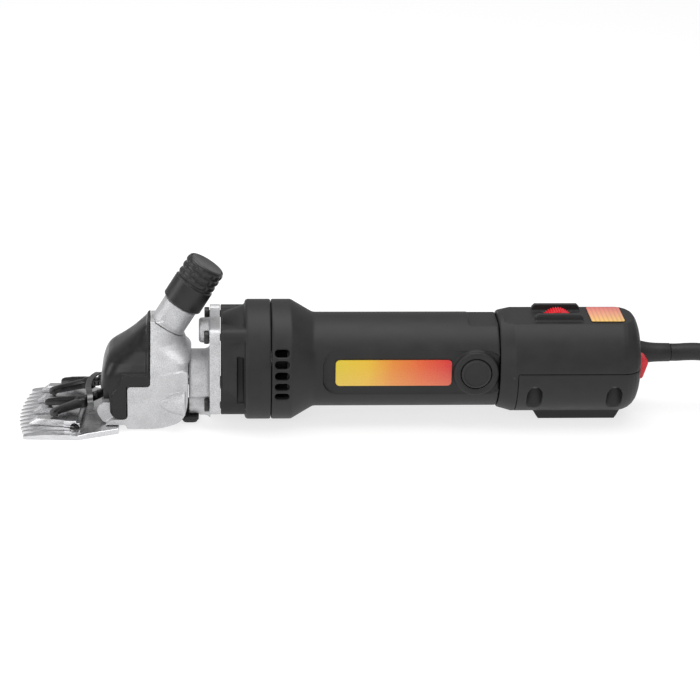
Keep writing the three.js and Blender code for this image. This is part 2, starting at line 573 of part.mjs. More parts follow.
function motorHousing() {
  const outside = turnX([[0, MOTOR_FRONT_X], [RING_R, MOTOR_FRONT_X], [RING_R, -23.5], [RING_R - 1.6, -21.4],
    [GRIP_R + 0.8, -13.6], [GRIP_R, -11.4], [GRIP_R, GRIP_REAR_X], [0, GRIP_REAR_X]], AXIS_Z, SHELL_SIDES);
  const pads = [-1, 1].map((side) => {
    const slab = roundRect(-1.5, 90, AXIS_Z - 13.2, AXIS_Z + 13.2, 3);
    return side < 0 ? alongY(slab, -40, -PAD_Y) : alongY(slab, PAD_Y, 40);
  });
  const bosses = [-1, 1].map((side) => {
    const outward = Y_AXIS.clone().multiplyScalar(side);
    return rod(12.4, at(BRUSH_X, 0, AXIS_Z), outward, 18, 25.6, ROUND_SIDES);
  });
  const fanRoom = turnX([[0, MOTOR_FRONT_X - 1], [30.3, MOTOR_FRONT_X - 1], [30.3, -24], [MOTOR_BORE_R, -16],
    [MOTOR_BORE_R, 83], [0, 83]], AXIS_Z, SHELL_SIDES);
  const bearingSeat = rod(BEARING_R + GAP, at(0, 0, AXIS_Z), X_AXIS, 80, 95, ROUND_SIDES);
  const wireHole = rod(4, at(0, 0, AXIS_Z + 15), X_AXIS, 80, 95, SMALL_SIDES);
  const vents = [];
  [0, 180].forEach((start) => {
    [-22, -11, 0, 11, 22].forEach((offset) => {
      const slot = new THREE.BoxGeometry(7.9, 12, 4.2);
      slot.translate(-29.4, 32, 0);
      slot.rotateX(degrees(start + offset));
      slot.translate(0, 0, AXIS_Z);
      vents.push(solid(slot));
    });
  });
  const holderBores = [-1, 1].flatMap((side) => {
    const axis = Y_AXIS.clone().multiplyScalar(side);
    const foot = at(BRUSH_X, 0, AXIS_Z);
    return [rod(6.6, foot, axis, 12, 40, SMALL_SIDES), rod(8.6, foot, axis, 22.2, 40, ROUND_SIDES)];
  });
  const topFlat = block(74, GRIP_REAR_X + 1, -14, 14, AXIS_Z + 23.4, AXIS_Z + 40);
  const floor = block(-60, 20, -30, 30, -5, 0);
  const rooms = [fanRoom, bearingSeat, wireHole, ...vents, ...holderBores, topFlat, floor];
  piece('motor_housing', cut(join(cut(outside, ...pads), ...bosses), ...rooms), blackPlastic);
  const label = roundRect(0, 63.8, AXIS_Z - 7.5, AXIS_Z + 7.5, 2.4);
  piece('side_label', alongY(label, -PAD_Y - GAP - LABEL_THICK, -PAD_Y - GAP), orangeLabel);
}

function motor() {
  const gapDown = Math.PI / 2 + Math.PI / PINION_TEETH;
  const pinion = gear(PINION_TEETH, 0, GEAR_FRONT_X + 0.2, GEAR_REAR_X, AXIS_Z, gapDown);
  const shaft = join(pinion, turnX([[0, GEAR_REAR_X - 1], [2.7, GEAR_REAR_X - 1], [2.7, GEAR_REAR_X],
    [SHAFT_R, WALL_X - 0.4], [SHAFT_R, 89.4], [0, 89.4]], AXIS_Z, ROUND_SIDES));
  piece('armature_shaft', shaft, polishedSteel);
  const bore = SHAFT_R + GAP;
  const winding = (x0, x1) =>
    turnX([[bore, x0], [9.5, x0], [11, (x0 + x1) / 2], [9.5, x1], [bore, x1]], AXIS_Z, ROUND_SIDES);
  const armature = join(ringX(bore, 12, 5, 50, AXIS_Z, ROUND_SIDES), winding(-6, 5.2), winding(49.8, 60));
  piece('armature_core', armature, darkSteel);
  piece('commutator', ringX(bore, 9.5, 71, 82.6, AXIS_Z, ROUND_SIDES), copper);
  piece('bearing_front', ringX(bore, BEARING_R, WALL_X, CASE_REAR_X, AXIS_Z), bearingSteel);
  piece('bearing_rear', ringX(bore, BEARING_R, 84, 89, AXIS_Z), bearingSteel);

  const hub = ringX(bore, 9, -33, -25, AXIS_Z, ROUND_SIDES);
  const disc = ringX(bore, 27, -26.5, -25, AXIS_Z, ROUND_SIDES);
  const BLADES = 9;
  const blades = Array.from({ length: BLADES }, (_, i) => {
    const blade = new THREE.BoxGeometry(7.5, 18.2, 1.3);
    blade.translate(-29.2, 17.4, 0);
    blade.rotateX(i * 2 * Math.PI / BLADES);
    blade.translate(0, 0, AXIS_Z);
    return solid(blade);
  });
  piece('cooling_fan', join(hub, disc, ...blades), blackPlastic);

  const slots = [0, 180].map((angle) => sector(12, 17.2, degrees(angle - 32), degrees(angle + 32), 2, 54));
  const core = cut(ringX(12.9, MOTOR_BORE_R - GAP, 4, 52, AXIS_Z, SHELL_SIDES), ...slots);
  piece('stator_core', core, darkSteel);
  [['upper', 0], ['lower', 180]].forEach(([label, angle]) => {
    const arc = (inner, outer, from, to, x0, x1) =>
      sector(inner, outer, degrees(from + angle), degrees(to + angle), x0, x1);
    const coil = join(arc(13.3, 18.6, 8, 172, -5, 3.6), arc(13.3, 18.6, 8, 172, 52.4, 61),
      arc(13.3, 16.9, 8, 30, 2, 54), arc(13.3, 16.9, 150, 172, 2, 54));
    piece(`field_coil_${label}`, coil, copper);
  });

  [['near', -1], ['far', 1]].forEach(([label, side]) => {
    const axis = Y_AXIS.clone().multiplyScalar(side);
    const foot = at(BRUSH_X, 0, AXIS_Z);
    const square = (half, from, to) => block(BRUSH_X - half, BRUSH_X + half, Math.min(side * from, side * to),
      Math.max(side * from, side * to), AXIS_Z - half, AXIS_Z + half);
    piece(`brush_holder_${label}`, cut(square(4.3, 11.5, 21.8), square(3.4, 5, 30)), bronze);
    piece(`carbon_brush_${label}`, square(3.1, 9.8, 20.4), carbon);
    const cap = turn([[0, 22.5], [8.3, 22.5], [8.3, 25.4], [7.6, 26.2], [0, 26.2]], foot, axis, ROUND_SIDES);
    const [slotY0, slotY1] = side > 0 ? [25.3, 30] : [-30, -25.3];
    const coinSlot = block(BRUSH_X - 5.5, BRUSH_X + 5.5, slotY0, slotY1, AXIS_Z - 0.9, AXIS_Z + 0.9);
    piece(`brush_cap_${label}`, cut(cap, coinSlot), blackPlastic);
  });
}

// ---------------------------------------------------------------- rear housing
function rear() {
  const seamX = REAR_FRONT_X + 6;
  const outside = turnX([[0, REAR_FRONT_X], [27, REAR_FRONT_X], [REAR_R, seamX], [REAR_R, 159],
    [27.8, 164], [24, 167.6], [17, 169.2], [0, REAR_END_X]], AXIS_Z);
  const inside = turnX([[0, REAR_FRONT_X - 1], [24.6, REAR_FRONT_X - 1], [26.6, seamX], [26.6, 158],
    [24.6, 163], [17, 166.4], [0, 166.9]], AXIS_Z);
  const topFlat = block(REAR_FRONT_X + 3, 175, -20, 20, AXIS_Z + REAR_TOP, AXIS_Z + 40);
  const roof = block(REAR_FRONT_X - 2, 170, -20, 20, AXIS_Z + REAR_TOP - 2.4, AXIS_Z + 40);
  const full = cut(outside, topFlat);
  const shell = cut(full, cut(inside, roof));
  const lower = block(SPLIT_X, 180, -40, 40, -10, SPLIT_Z);
  const post = (x, y, z0, z1, r) => rod(r, at(x, y, 0), Z_AXIS, z0, z1, SMALL_SIDES);
  const corners = POST_XS.flatMap((x) => [[x, -POST_Y], [x, POST_Y]]);

  const rails = [-1, 1].map((side) => {
    const rail = shapeOf([[110.4, 23], [110.4, 27.4], [112, 29], [135.6, 29], [137.2, 27.4], [137.2, 23]]
      .map(([x, z]) => [x, z + AXIS_Z]));
    return alongY(rail, side * 8.6 - 1.6, side * 8.6 + 1.6);
  });
  const dialSlot = block(DIAL_X - 9, DIAL_X + 9, -5.6, 5.6, AXIS_Z + 15, AXIS_Z + 40);
  const rockerHole = block(160, 180, ROCKER_Y - 5.4, ROCKER_Y + 5.4, ROCKER_Z - 7.4, ROCKER_Z + 7.4);
  const cordHole = rod(4, at(0, CORD_Y, AXIS_Z), X_AXIS, 160, 180, SMALL_SIDES);
  const upperPosts = corners.map(([x, y]) => post(x, y, SPLIT_Z + 0.1, AXIS_Z + 9, 5.2).intersect(full));
  const pilots = corners.map(([x, y]) => post(x, y, SPLIT_Z - 3, AXIS_Z + 6, 1.9));
  const reliefRoom = rod(8, at(0, CORD_Y, AXIS_Z), X_AXIS, 169.2, 180, SMALL_SIDES);
  const openings = [rockerHole, cordHole, reliefRoom];
  const upper = join(cut(shell, lower), ...upperPosts, ...rails);
  piece('rear_housing', cut(upper, dialSlot, ...openings, ...pilots), blackPlastic);

  const below = block(SPLIT_X + GAP, 180, -40, 40, -10, SPLIT_Z - GAP);
  const lowerFull = full.intersect(below);
  const lowerPosts = corners.map(([x, y]) => post(x, y, 5, SPLIT_Z - GAP, 6.8).intersect(lowerFull));
  const skid = alongY(shapeOf([[109.4, 8], [114.4, 0], [157.7, 0], [162, 8]]), -8, 8);
  const hollow = inside.intersect(block(SPLIT_X - 5, 180, -30, 30, 6.2, 60));
  const skidOnly = cut(skid, hollow);
  const pockets = corners.flatMap(([x, y]) => [
    post(x, y + Math.sign(y) * 0.8, -10, 27.4, 4.3),
    post(x, y, 10, 40, 1.9),
  ]);
  const lowerShell = join(shell.intersect(below), ...lowerPosts, skidOnly);
  piece('bottom_cover', cut(lowerShell, ...openings, ...pockets), blackPlastic);
  corners.forEach(([x, y]) => {
    const label = `${x < 130 ? 'front' : 'back'}_${y < 0 ? 'near' : 'far'}`;
    const outline = [[0, 24.6], [3.1, 24.6], [3.1, 27.1], [1.5, 27.1], [1.5, 37], [0, 37]];
    const recess = block(x - 2, x + 2, y - 0.5, y + 0.5, 20, 25.6);
    piece(`cover_screw_${label}`, cut(turn(outline, at(x, y, 0), Z_AXIS, SMALL_SIDES), recess), darkSteel);
  });

  const dialTeeth = [];
  const COUNT = 24;
  for (let i = 0; i < COUNT; i += 1) {
    const angle = i * 2 * Math.PI / COUNT;
    const reach = DIAL_R + 0.35;
    const foot = at(DIAL_X + reach * Math.cos(angle), 0, DIAL_Z + reach * Math.sin(angle));
    dialTeeth.push(rod(0.8, foot, Y_AXIS, -6, 6, 6));
  }
  const dial = rod(DIAL_R, at(DIAL_X, 0, DIAL_Z), Y_AXIS, -5, 5, SHELL_SIDES);
  piece('speed_dial', cut(dial, ...dialTeeth), redPlastic);
  piece('control_board', block(104, 146, -17, 17, AXIS_Z + 3, AXIS_Z + 4.6), boardGreen);
  const labelZ = AXIS_Z + REAR_TOP + GAP;
  piece('rating_label', alongZ(roundRect(141.5, 160, -12, 12, 1.5), labelZ, labelZ + LABEL_THICK), pinkLabel);

  const rocker = shapeOf([[166.6, -6], [166.6, 6], [171.9, 6.4], [174.3, 3.6], [171.2, -6.2]]
    .map(([x, z]) => [x, z + ROCKER_Z]));
  piece('switch_rocker', alongY(rocker, ROCKER_Y - 4.6, ROCKER_Y + 4.6), redPlastic);
  const bodyBox = block(150, 163.6, ROCKER_Y - 5, ROCKER_Y + 5, ROCKER_Z - 6.5, ROCKER_Z + 3.5);
  piece('switch_body', bodyBox, blackPlastic);
}

// ---------------------------------------------------------------- mains cord
// A round tube through the given points, straight along the path at both ends.
/** A long hole's outline along X, with its half-width and the two centres of its round ends. */
function slotShape(x0, x1, y, radius) {
  const outline = new THREE.Shape();
  outline.absarc(x1, y, radius, -Math.PI / 2, Math.PI / 2, false);
  outline.absarc(x0, y, radius, Math.PI / 2, Math.PI * 1.5, false);
  return outline;
}

function cordTube(points, steps) {
  const path = new THREE.CatmullRomCurve3(points, false, 'centripetal');
  const section = new THREE.Shape();
  section.absarc(0, 0, CORD_R, 0, 2 * Math.PI, false);
  return solid(new THREE.ExtrudeGeometry(section, { steps, extrudePath: path, curveSegments: 10 }));
}

function mainsCord() {
  const end = CORD_START_X - GAP;
  const reliefStart = REAR_END_X + GAP;
  const reliefOutline = [
    [0, reliefStart], [7.2, reliefStart], [7.2, 172.6], [5.4, 186], [5.4, end], [0, end],
  ];
  piece('strain_relief', turnX(reliefOutline, AXIS_Z, ROUND_SIDES, CORD_Y), blackRubber);

  // The free cord's route, as [x, y, z], down to the hank's lowest run.
  const route = [
    [CORD_START_X, CORD_Y, AXIS_Z], [194, CORD_Y, AXIS_Z], [199, CORD_Y, 33.3], [206, 8.7, 33.4],
    [214.7, 7.7, 32.5], [223.1, 6.2, 29.8], [230.7, 4.6, 25.4], [237.2, 3.1, 19.5], [243.9, 1.5, 13.2],
    [251.5, -0.1, 8.8], [259.9, -1.6, 6.1], [268.6, -2.7, 5.2], [CORD_JOIN_X - GAP, HANK_NEAR_Y, 5.1],
  ].map(([x, y, z]) => at(x, y, z));
  piece('power_cord', cordTube(route, 12), blackRubber);

  const top = HANK_TURNS * HANK_RISE + 2 * CORD_R;
  const hankY = HANK_NEAR_Y + HANK_BEND;
  const outside = slotShape(HANK_START_X, HANK_START_X + HANK_RUN, hankY, HANK_BEND + CORD_R);
  const inside = slotShape(HANK_START_X, HANK_START_X + HANK_RUN, hankY, HANK_BEND - CORD_R);
  const loops = cut(alongZ(outside, 0, top, 16), alongZ(inside, -1, top + 1, 16));
  const entry = block(HANK_START_X - 45, CORD_JOIN_X, HANK_NEAR_Y - 8, HANK_NEAR_Y + 8, -1, 2 * CORD_R + 1.6);
  const plugZ = top - CORD_R + PLUG_LIFT;
  const underPlug = plugZ - PLUG_THICK / 2;
  const plugSeat = block(
    PLUG_START_X, PLUG_START_X + 70, HANK_NEAR_Y - 20, HANK_NEAR_Y + 20, underPlug - GAP, 99,
  );
  piece('cord_coil', cut(loops, entry, plugSeat), blackRubber);

  const grip = new THREE.Shape();
  grip.moveTo(PLUG_START_X + GAP, HANK_NEAR_Y - 6.5);
  grip.lineTo(PLUG_START_X + 16, HANK_NEAR_Y - PLUG_HALF);
  grip.lineTo(PLUG_START_X + PLUG_LENGTH, HANK_NEAR_Y - PLUG_HALF);
  grip.lineTo(PLUG_START_X + PLUG_LENGTH, HANK_NEAR_Y + PLUG_HALF);
  grip.lineTo(PLUG_START_X + 16, HANK_NEAR_Y + PLUG_HALF);
  grip.lineTo(PLUG_START_X + GAP, HANK_NEAR_Y + 6.5);
  const pins = [-1, 1].map((side) => rod(
    2.4, at(0, HANK_NEAR_Y + side * 9.5, plugZ), X_AXIS,
    PLUG_START_X + 30, PLUG_START_X + PLUG_LENGTH + 19, SMALL_SIDES,
  ));
  piece('mains_plug', join(alongZ(grip, underPlug, underPlug + PLUG_THICK), ...pins), blackRubber);
}

comb();
fork();
head();
tension();
gearbox();
motorHousing();
motor();
rear();
mainsCord();

export default shears;
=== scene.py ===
"""Electric sheep shears: the visible pieces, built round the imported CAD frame.

Outlines are in millimetres in the frame's own axes, and every mesh is turned into metres when it is made.
"""
import json
import math

import bmesh
import bpy
from mathutils import Matrix, Vector


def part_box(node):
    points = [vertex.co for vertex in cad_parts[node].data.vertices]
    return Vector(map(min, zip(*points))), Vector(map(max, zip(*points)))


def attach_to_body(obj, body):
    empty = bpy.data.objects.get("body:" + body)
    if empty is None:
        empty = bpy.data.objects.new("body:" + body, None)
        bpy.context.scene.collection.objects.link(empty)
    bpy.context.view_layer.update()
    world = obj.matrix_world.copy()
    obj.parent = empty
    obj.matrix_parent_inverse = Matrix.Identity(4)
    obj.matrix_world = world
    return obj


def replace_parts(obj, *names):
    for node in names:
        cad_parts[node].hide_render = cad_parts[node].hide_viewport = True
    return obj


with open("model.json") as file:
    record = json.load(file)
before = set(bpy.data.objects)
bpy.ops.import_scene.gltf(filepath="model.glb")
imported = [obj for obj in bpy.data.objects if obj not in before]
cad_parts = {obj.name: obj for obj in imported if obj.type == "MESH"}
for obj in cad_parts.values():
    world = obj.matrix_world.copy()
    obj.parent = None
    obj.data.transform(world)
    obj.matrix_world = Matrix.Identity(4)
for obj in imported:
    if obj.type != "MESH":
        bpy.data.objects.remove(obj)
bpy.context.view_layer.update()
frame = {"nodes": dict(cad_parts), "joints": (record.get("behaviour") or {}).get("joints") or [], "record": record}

MM = 0.001
TAU = 2 * math.pi
X_AXIS, Y_AXIS, Z_AXIS = Vector((1, 0, 0)), Vector((0, 1, 0)), Vector((0, 0, 1))
GAP = 0.3

record = frame["record"]
JOINTS = {joint["name"]: joint for joint in frame["joints"]}
BODY_OF = {node: body for body, nodes in record["behaviour"]["bodies"].items() for node in nodes}
SLOT_OF = {part["node"]: part["material_slot"] for part in record["subparts"]}


def low(node):
    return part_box(node)[0] / MM


def high(node):
    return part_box(node)[1] / MM


def middle_of(node):
    return (low(node) + high(node)) / 2


def pivot(joint):
    return Vector(JOINTS[joint]["pos_m"]) / MM


AXIS_Z = pivot("motor_spin").z
OUTPUT_Z = pivot("output_spin").z
LEAN = Vector(JOINTS["knob_turn"]["axis"]).normalized()
STEM_FOOT = pivot("knob_turn")
FORK_REST = Matrix.Rotation(math.radians(-4), 4, "Z")


# ------------------------------------------------------------------ camera, floor and lights
def camera():
    """The view is almost square to the tool's side, from 20 degrees above, with a long lens."""
    azimuth, elevation, roll = math.radians(-3.3), math.radians(20), math.radians(1.0)
    distance = 1.343
    target = Vector((0.009, 0, AXIS_Z * MM + 0.005))
    back = Vector((
        math.sin(azimuth) * math.cos(elevation),
        -math.cos(azimuth) * math.cos(elevation),
        math.sin(elevation),
    ))
    data = bpy.data.cameras.new("view")
    data.sensor_width = 36
    data.lens = 124.3
    data.clip_start, data.clip_end = 0.05, 20
    data.dof.use_dof = False
    view = bpy.data.objects.new("view", data)
    view.rotation_mode = "QUATERNION"
    view.location = target + back * distance
    level = (-back).to_track_quat("-Z", "Y")
    view.rotation_quaternion = level @ Matrix.Rotation(roll, 4, "Z").to_quaternion()
    bpy.context.scene.collection.objects.link(view)
    bpy.context.scene.camera = view


def softbox(name, place, aim, width, height, watts, tint=(1, 1, 1)):
    data = bpy.data.lights.new(name, "AREA")
    data.shape = "RECTANGLE"
    data.size, data.size_y = width, height
    data.energy = watts
    data.color = tint
    lamp = bpy.data.objects.new(name, data)
    lamp.location = place
    lamp.rotation_mode = "QUATERNION"
    lamp.rotation_quaternion = (Vector(aim) - Vector(place)).to_track_quat("-Z", "Y")
    bpy.context.scene.collection.objects.link(lamp)


def studio():
    scene = bpy.context.scene
    scene.view_settings.view_transform = "Standard"
    world = bpy.data.worlds.new("studio")
    world.use_nodes = True
    world.node_tree.nodes["Background"].inputs["Color"].default_value = (1, 1, 1, 1)
    world.node_tree.nodes["Background"].inputs["Strength"].default_value = 0.45
    scene.world = world
    softbox("overhead", (0.05, 0.05, 1.3), (0, 0, 0), 1.5, 0.7, 12)
    softbox("front", (-0.5, -1.5, 0.9), (0, 0, 0.03), 0.8, 0.8, 6)
    softbox("left", (-1.4, -0.2, 0.6), (-0.1, 0, 0.03), 0.6, 0.6, 4)
    mesh = bpy.data.meshes.new("floor")
    reach = 6
    mesh.from_pydata([(-reach, -reach, 0), (reach, -reach, 0), (reach, reach, 0), (-reach, reach, 0)], [],
                     [(0, 1, 2, 3)])
    floor = bpy.data.objects.new("floor", mesh)
    scene.collection.objects.link(floor)
    paper = bpy.data.materials.new("paper")
    paper.use_nodes = True
    finish = paper.node_tree.nodes["Principled BSDF"].inputs
    finish["Base Color"].default_value = (0.34, 0.34, 0.34, 1)
    finish["Roughness"].default_value = 0.9
    finish["Emission Color"].default_value = (1, 1, 1, 1)
    finish["Emission Strength"].default_value = 0.72
    mesh.materials.append(paper)


# ------------------------------------------------------------------ materials
class Look:
    """A material's node tree, with the few patterns that the finishes are made of."""

    def __init__(self, name):
        self.material = bpy.data.materials.new(name)
        self.material.use_nodes = True
        self.tree = self.material.node_tree
        self.shader = self.tree.nodes["Principled BSDF"]
        self.place = self.tree.nodes.new("ShaderNodeTexCoord").outputs["Object"]

    def link(self, source, target):
        self.tree.links.new(source, target)

    def fixed(self, **values):
        for name, value in values.items():
            self.shader.inputs[name.replace("_", " ")].default_value = value
        return self

    def stretched(self, scale):
        mapping = self.tree.nodes.new("ShaderNodeMapping")
        mapping.inputs["Scale"].default_value = scale
        self.link(self.place, mapping.inputs["Vector"])
        return mapping.outputs["Vector"]

    def noise(self, size_mm, detail=2.0, stretch=None):
        """Noise with patches of about that size; stretch scales its axes."""
        node = self.tree.nodes.new("ShaderNodeTexNoise")
        node.inputs["Scale"].default_value = 1 / (size_mm * MM)
        node.inputs["Detail"].default_value = detail
        self.link(self.stretched(stretch) if stretch else self.place, node.inputs["Vector"])
        return node.outputs["Fac"]

    def cells(self, size_mm):
        node = self.tree.nodes.new("ShaderNodeTexVoronoi")
        node.inputs["Scale"].default_value = 1 / (size_mm * MM)
        self.link(self.place, node.inputs["Vector"])
        return node.outputs["Distance"]

    def ramp(self, value, stops):
        node = self.tree.nodes.new("ShaderNodeValToRGB")
        ramp = node.color_ramp
        while len(ramp.elements) < len(stops):
            ramp.elements.new(0.5)
        for element, (position, colour) in zip(ramp.elements, stops):
            element.position = position
            element.color = (*colour, 1)
        self.link(value, node.inputs["Fac"])
        return node.outputs["Color"]

    def range(self, value, low_in, high_in, low_out, high_out):
        node = self.tree.nodes.new("ShaderNodeMapRange")
        limits = {"From Min": low_in, "From Max": high_in, "To Min": low_out, "To Max": high_out}
        for name, number in limits.items():
            node.inputs[name].default_value = number
        self.link(value, node.inputs["Value"])
        return node.outputs["Result"]

    def add(self, first, second, share):
        """first + share * second."""
        node = self.tree.nodes.new("ShaderNodeMath")
        node.operation = "MULTIPLY_ADD"
        self.link(second, node.inputs[0])
        node.inputs[1].default_value = share
        self.link(first, node.inputs[2])
        return node.outputs[0]

    def mix(self, factor, first, second):
        node = self.tree.nodes.new("ShaderNodeMix")
        node.data_type = "RGBA"
        self.link(factor, node.inputs["Factor"])
        for socket, value in ((node.inputs[6], first), (node.inputs[7], second)):
            if isinstance(value, tuple):
                socket.default_value = (*value, 1)
            else:
                self.link(value, socket)
        return node.outputs[2]

    def edges(self, start=0.52, end=0.6):
        """High where the surface is an outer edge."""
        node = self.tree.nodes.new("ShaderNodeNewGeometry")
        return self.range(node.outputs["Pointiness"], start, end, 0, 1)

    def bump(self, height, depth_mm, strength=1.0):
        node = self.tree.nodes.new("ShaderNodeBump")
        node.inputs["Strength"].default_value = strength
        node.inputs["Distance"].default_value = depth_mm * MM
        self.link(height, node.inputs["Height"])
        self.link(node.outputs["Normal"], self.shader.inputs["Normal"])

    def colour(self, socket):
        self.link(socket, self.shader.inputs["Base Color"])

    def rough(self, socket):
        self.link(socket, self.shader.inputs["Roughness"])

    def along(self, axis):
        node = self.tree.nodes.new("ShaderNodeSeparateXYZ")
        self.link(self.place, node.inputs["Vector"])
        return node.outputs[axis]


def grey(level):
    return (level, level, level * 1.02)


def plain_look(name, dark, light, rough_low, rough_high, metallic=0.0, patch=9, grain=0.35, depth=0.02,
               worn=None, shine=0.5):
    """A finish with broad patches, a fine grain, an uneven gloss and, if worn is given, lighter edges."""
    look = Look(name).fixed(Metallic=metallic, Specular_IOR_Level=shine)
    patches = look.noise(patch, 3)
    fine = look.noise(grain, 2)
    colour = look.ramp(look.add(patches, fine, 0.25), [(0.4, dark), (0.85, light)])
    if worn:
        colour = look.mix(look.range(look.edges(), 0, 1, 0, 0.6), colour, worn)
    look.colour(colour)
    look.rough(look.range(look.add(patches, fine, 0.5), 0.4, 1.1, rough_low, rough_high))
    look.bump(fine, depth)
    return look.material


def cast_aluminium():
    look = Look("cast_aluminium").fixed(Metallic=0.75)
    sand, patches, cells = look.noise(0.55, 3), look.noise(7, 3), look.cells(0.8)
    tone = look.add(sand, patches, 0.35)
    colour = look.ramp(tone, [(0.42, grey(0.4)), (0.62, grey(0.54)), (0.88, grey(0.7))])
    look.colour(look.mix(look.range(look.edges(), 0, 1, 0, 0.5), colour, grey(0.76)))
    look.rough(look.range(look.add(sand, cells, 0.4), 0.4, 1.0, 0.4, 0.62))
    look.bump(look.add(sand, cells, 0.5), 0.12, 0.8)
    return look.material


def ground_steel(name, level=0.5, rough_low=0.2, rough_high=0.38):
    look = Look(name).fixed(Metallic=1.0)
    lines = look.noise(0.3, 2, stretch=(0.05, 1, 1))
    patches = look.noise(9, 2)
    colour = look.ramp(look.add(lines, patches, 0.4), [(0.45, grey(level * 0.85)), (0.9, grey(level * 1.1))])
    look.colour(colour)
    look.rough(look.range(lines, 0.3, 0.7, rough_low, rough_high))
    look.bump(lines, 0.004, 0.5)
    return look.material


def black_steel():
    look = Look("black_steel").fixed(Metallic=0.6)
    scale, fine = look.noise(3, 4), look.noise(0.5, 2)
    colour = look.ramp(look.add(scale, fine, 0.3), [(0.45, grey(0.008)), (0.95, grey(0.022))])
    # Lighter colour along the edges: partly edge wear, partly a painted glint along the ridges.
    look.colour(look.mix(look.range(look.edges(0.53, 0.62), 0, 1, 0, 0.5), colour, grey(0.14)))
    look.rough(look.range(scale, 0.3, 0.7, 0.28, 0.45))
    look.bump(fine, 0.03, 0.7)
    return look.material


def gloss_black():
    look = Look("gloss_black").fixed(Specular_IOR_Level=0.4)
    swell, fine = look.noise(4, 2), look.noise(0.4, 2)
    look.colour(look.ramp(swell, [(0.3, grey(0.004)), (0.8, grey(0.009))]))
    look.rough(look.range(look.add(swell, fine, 0.5), 0.4, 1.0, 0.27, 0.4))
    look.bump(look.add(swell, fine, 0.15), 0.03, 0.35)
    return look.material


def red_plastic():
    look = Look("red_plastic").fixed(Roughness=0.35)
    patches, fine = look.noise(3, 3), look.noise(0.3, 2)
    look.colour(look.ramp(patches, [(0.3, (0.62, 0.008, 0.018)), (0.75, (0.82, 0.016, 0.035))]))
    look.rough(look.range(fine, 0.3, 0.7, 0.28, 0.42))
    look.bump(fine, 0.015, 0.5)
    return look.material


def side_label():
    """A printed film that runs from yellow at the front to red at the back, paler along its lower edge."""
    lo, hi = low("side_label") * MM, high("side_label") * MM
    look = Look("side_label").fixed(Roughness=0.3, Coat_Weight=0.3, Coat_Roughness=0.15)
    run = look.range(look.along("X"), lo.x, hi.x, 0, 1)
    spread = look.add(run, look.noise(6, 2), 0.05)
    colour = look.ramp(spread, [
        (0.05, (0.74, 0.55, 0.02)), (0.3, (0.78, 0.48, 0.02)), (0.52, (0.76, 0.24, 0.02)),
        (0.78, (0.74, 0.1, 0.02)), (1.0, (0.68, 0.025, 0.02)),
    ])
    fade = look.range(look.along("Z"), lo.z, hi.z - 0.004, 0.22, 0.0)
    look.colour(look.mix(fade, colour, (0.9, 0.52, 0.25)))
    look.rough(look.range(look.noise(0.6, 2), 0.3, 0.7, 0.24, 0.36))
    look.bump(look.noise(0.5, 2), 0.01, 0.4)
    return look.material


def rating_label():
    """A plain printed film, pink on the far side and warm yellow on the near side, with faint ruled lines."""
    lo, hi = low("rating_label") * MM, high("rating_label") * MM
    look = Look("rating_label").fixed(Roughness=0.35)
    run = look.range(look.along("Y"), lo.y, hi.y, 0, 1)
    film = look.ramp(run, [(0.0, (0.87, 0.55, 0.16)), (0.5, (0.83, 0.36, 0.2)), (1.0, (0.76, 0.16, 0.16))])
    wave = look.tree.nodes.new("ShaderNodeTexWave")
    wave.bands_direction = "X"
    wave.inputs["Scale"].default_value = 130
    look.link(look.place, wave.inputs["Vector"])
    lines = look.range(wave.outputs["Fac"], 0.55, 0.8, 0.0, 0.35)
    look.colour(look.mix(lines, film, (0.45, 0.16, 0.12)))
    look.rough(look.range(look.noise(0.6, 2), 0.3, 0.7, 0.3, 0.45))
    look.bump(look.noise(0.5, 2), 0.01, 0.4)
    return look.material


def knob_black():
    """The knob's own finish: the same black as the housings, a little glossier."""
    return plain_look("knob_black", grey(0.009), grey(0.018), 0.3, 0.46, grain=0.3, depth=0.02, shine=0.45)


def knob_disc():
    """The knob's end face, a shade lighter than the knob: painted light on its upward face."""
    return plain_look("knob_disc", grey(0.045), grey(0.065), 0.35, 0.5, grain=0.3, depth=0.02, shine=0.45)


LOOKS = {
    "cast_aluminium": cast_aluminium(),
    "polished_steel": ground_steel("polished_steel", 0.66),
    "black_steel": black_steel(),
    "spring_steel": ground_steel("spring_steel", 0.13, 0.25, 0.4),
    "gloss_black": gloss_black(),
    "black_plastic": plain_look("black_plastic", grey(0.013), grey(0.02), 0.46, 0.6, depth=0.03,
                                worn=grey(0.045), shine=0.35),
    "black_rubber": plain_look("black_rubber", grey(0.01), grey(0.018), 0.45, 0.62, grain=0.5, depth=0.03,
                               shine=0.4),
    "red_plastic": red_plastic(),
    "side_label": side_label(),
    "rating_label": rating_label(),
    "bronze": plain_look("bronze", (0.42, 0.27, 0.09), (0.6, 0.42, 0.18), 0.3, 0.45, metallic=1.0, patch=4),
    "copper": plain_look("copper", (0.42, 0.15, 0.06), (0.66, 0.28, 0.13), 0.3, 0.5, metallic=0.9, patch=4),
    "carbon": plain_look("carbon", grey(0.02), grey(0.05), 0.7, 0.85, patch=2),
    "circuit_board": plain_look("circuit_board", (0.01, 0.1, 0.03), (0.02, 0.17, 0.06), 0.35, 0.5, patch=3),
}


# ------------------------------------------------------------------ solids: lists of corners and faces
def prism(outline, start, end, axis):
    """A flat outline pushed through along X, Y or Z; its numbers are the other two axes in order."""
    count = len(outline)
    place = "XYZ".index(axis)
    corners = [(*corner[:place], s, *corner[place:]) for s in (start, end) for corner in outline]
    faces = [tuple(range(count)), tuple(range(count, 2 * count))]
    faces += [(i, (i + 1) % count, (i + 1) % count + count, i + count) for i in range(count)]
    return corners, faces


def box(x0, x1, y0, y1, z0, z1):
    return prism([(x0, y0), (x1, y0), (x1, y1), (x0, y1)], z0, z1, "Z")


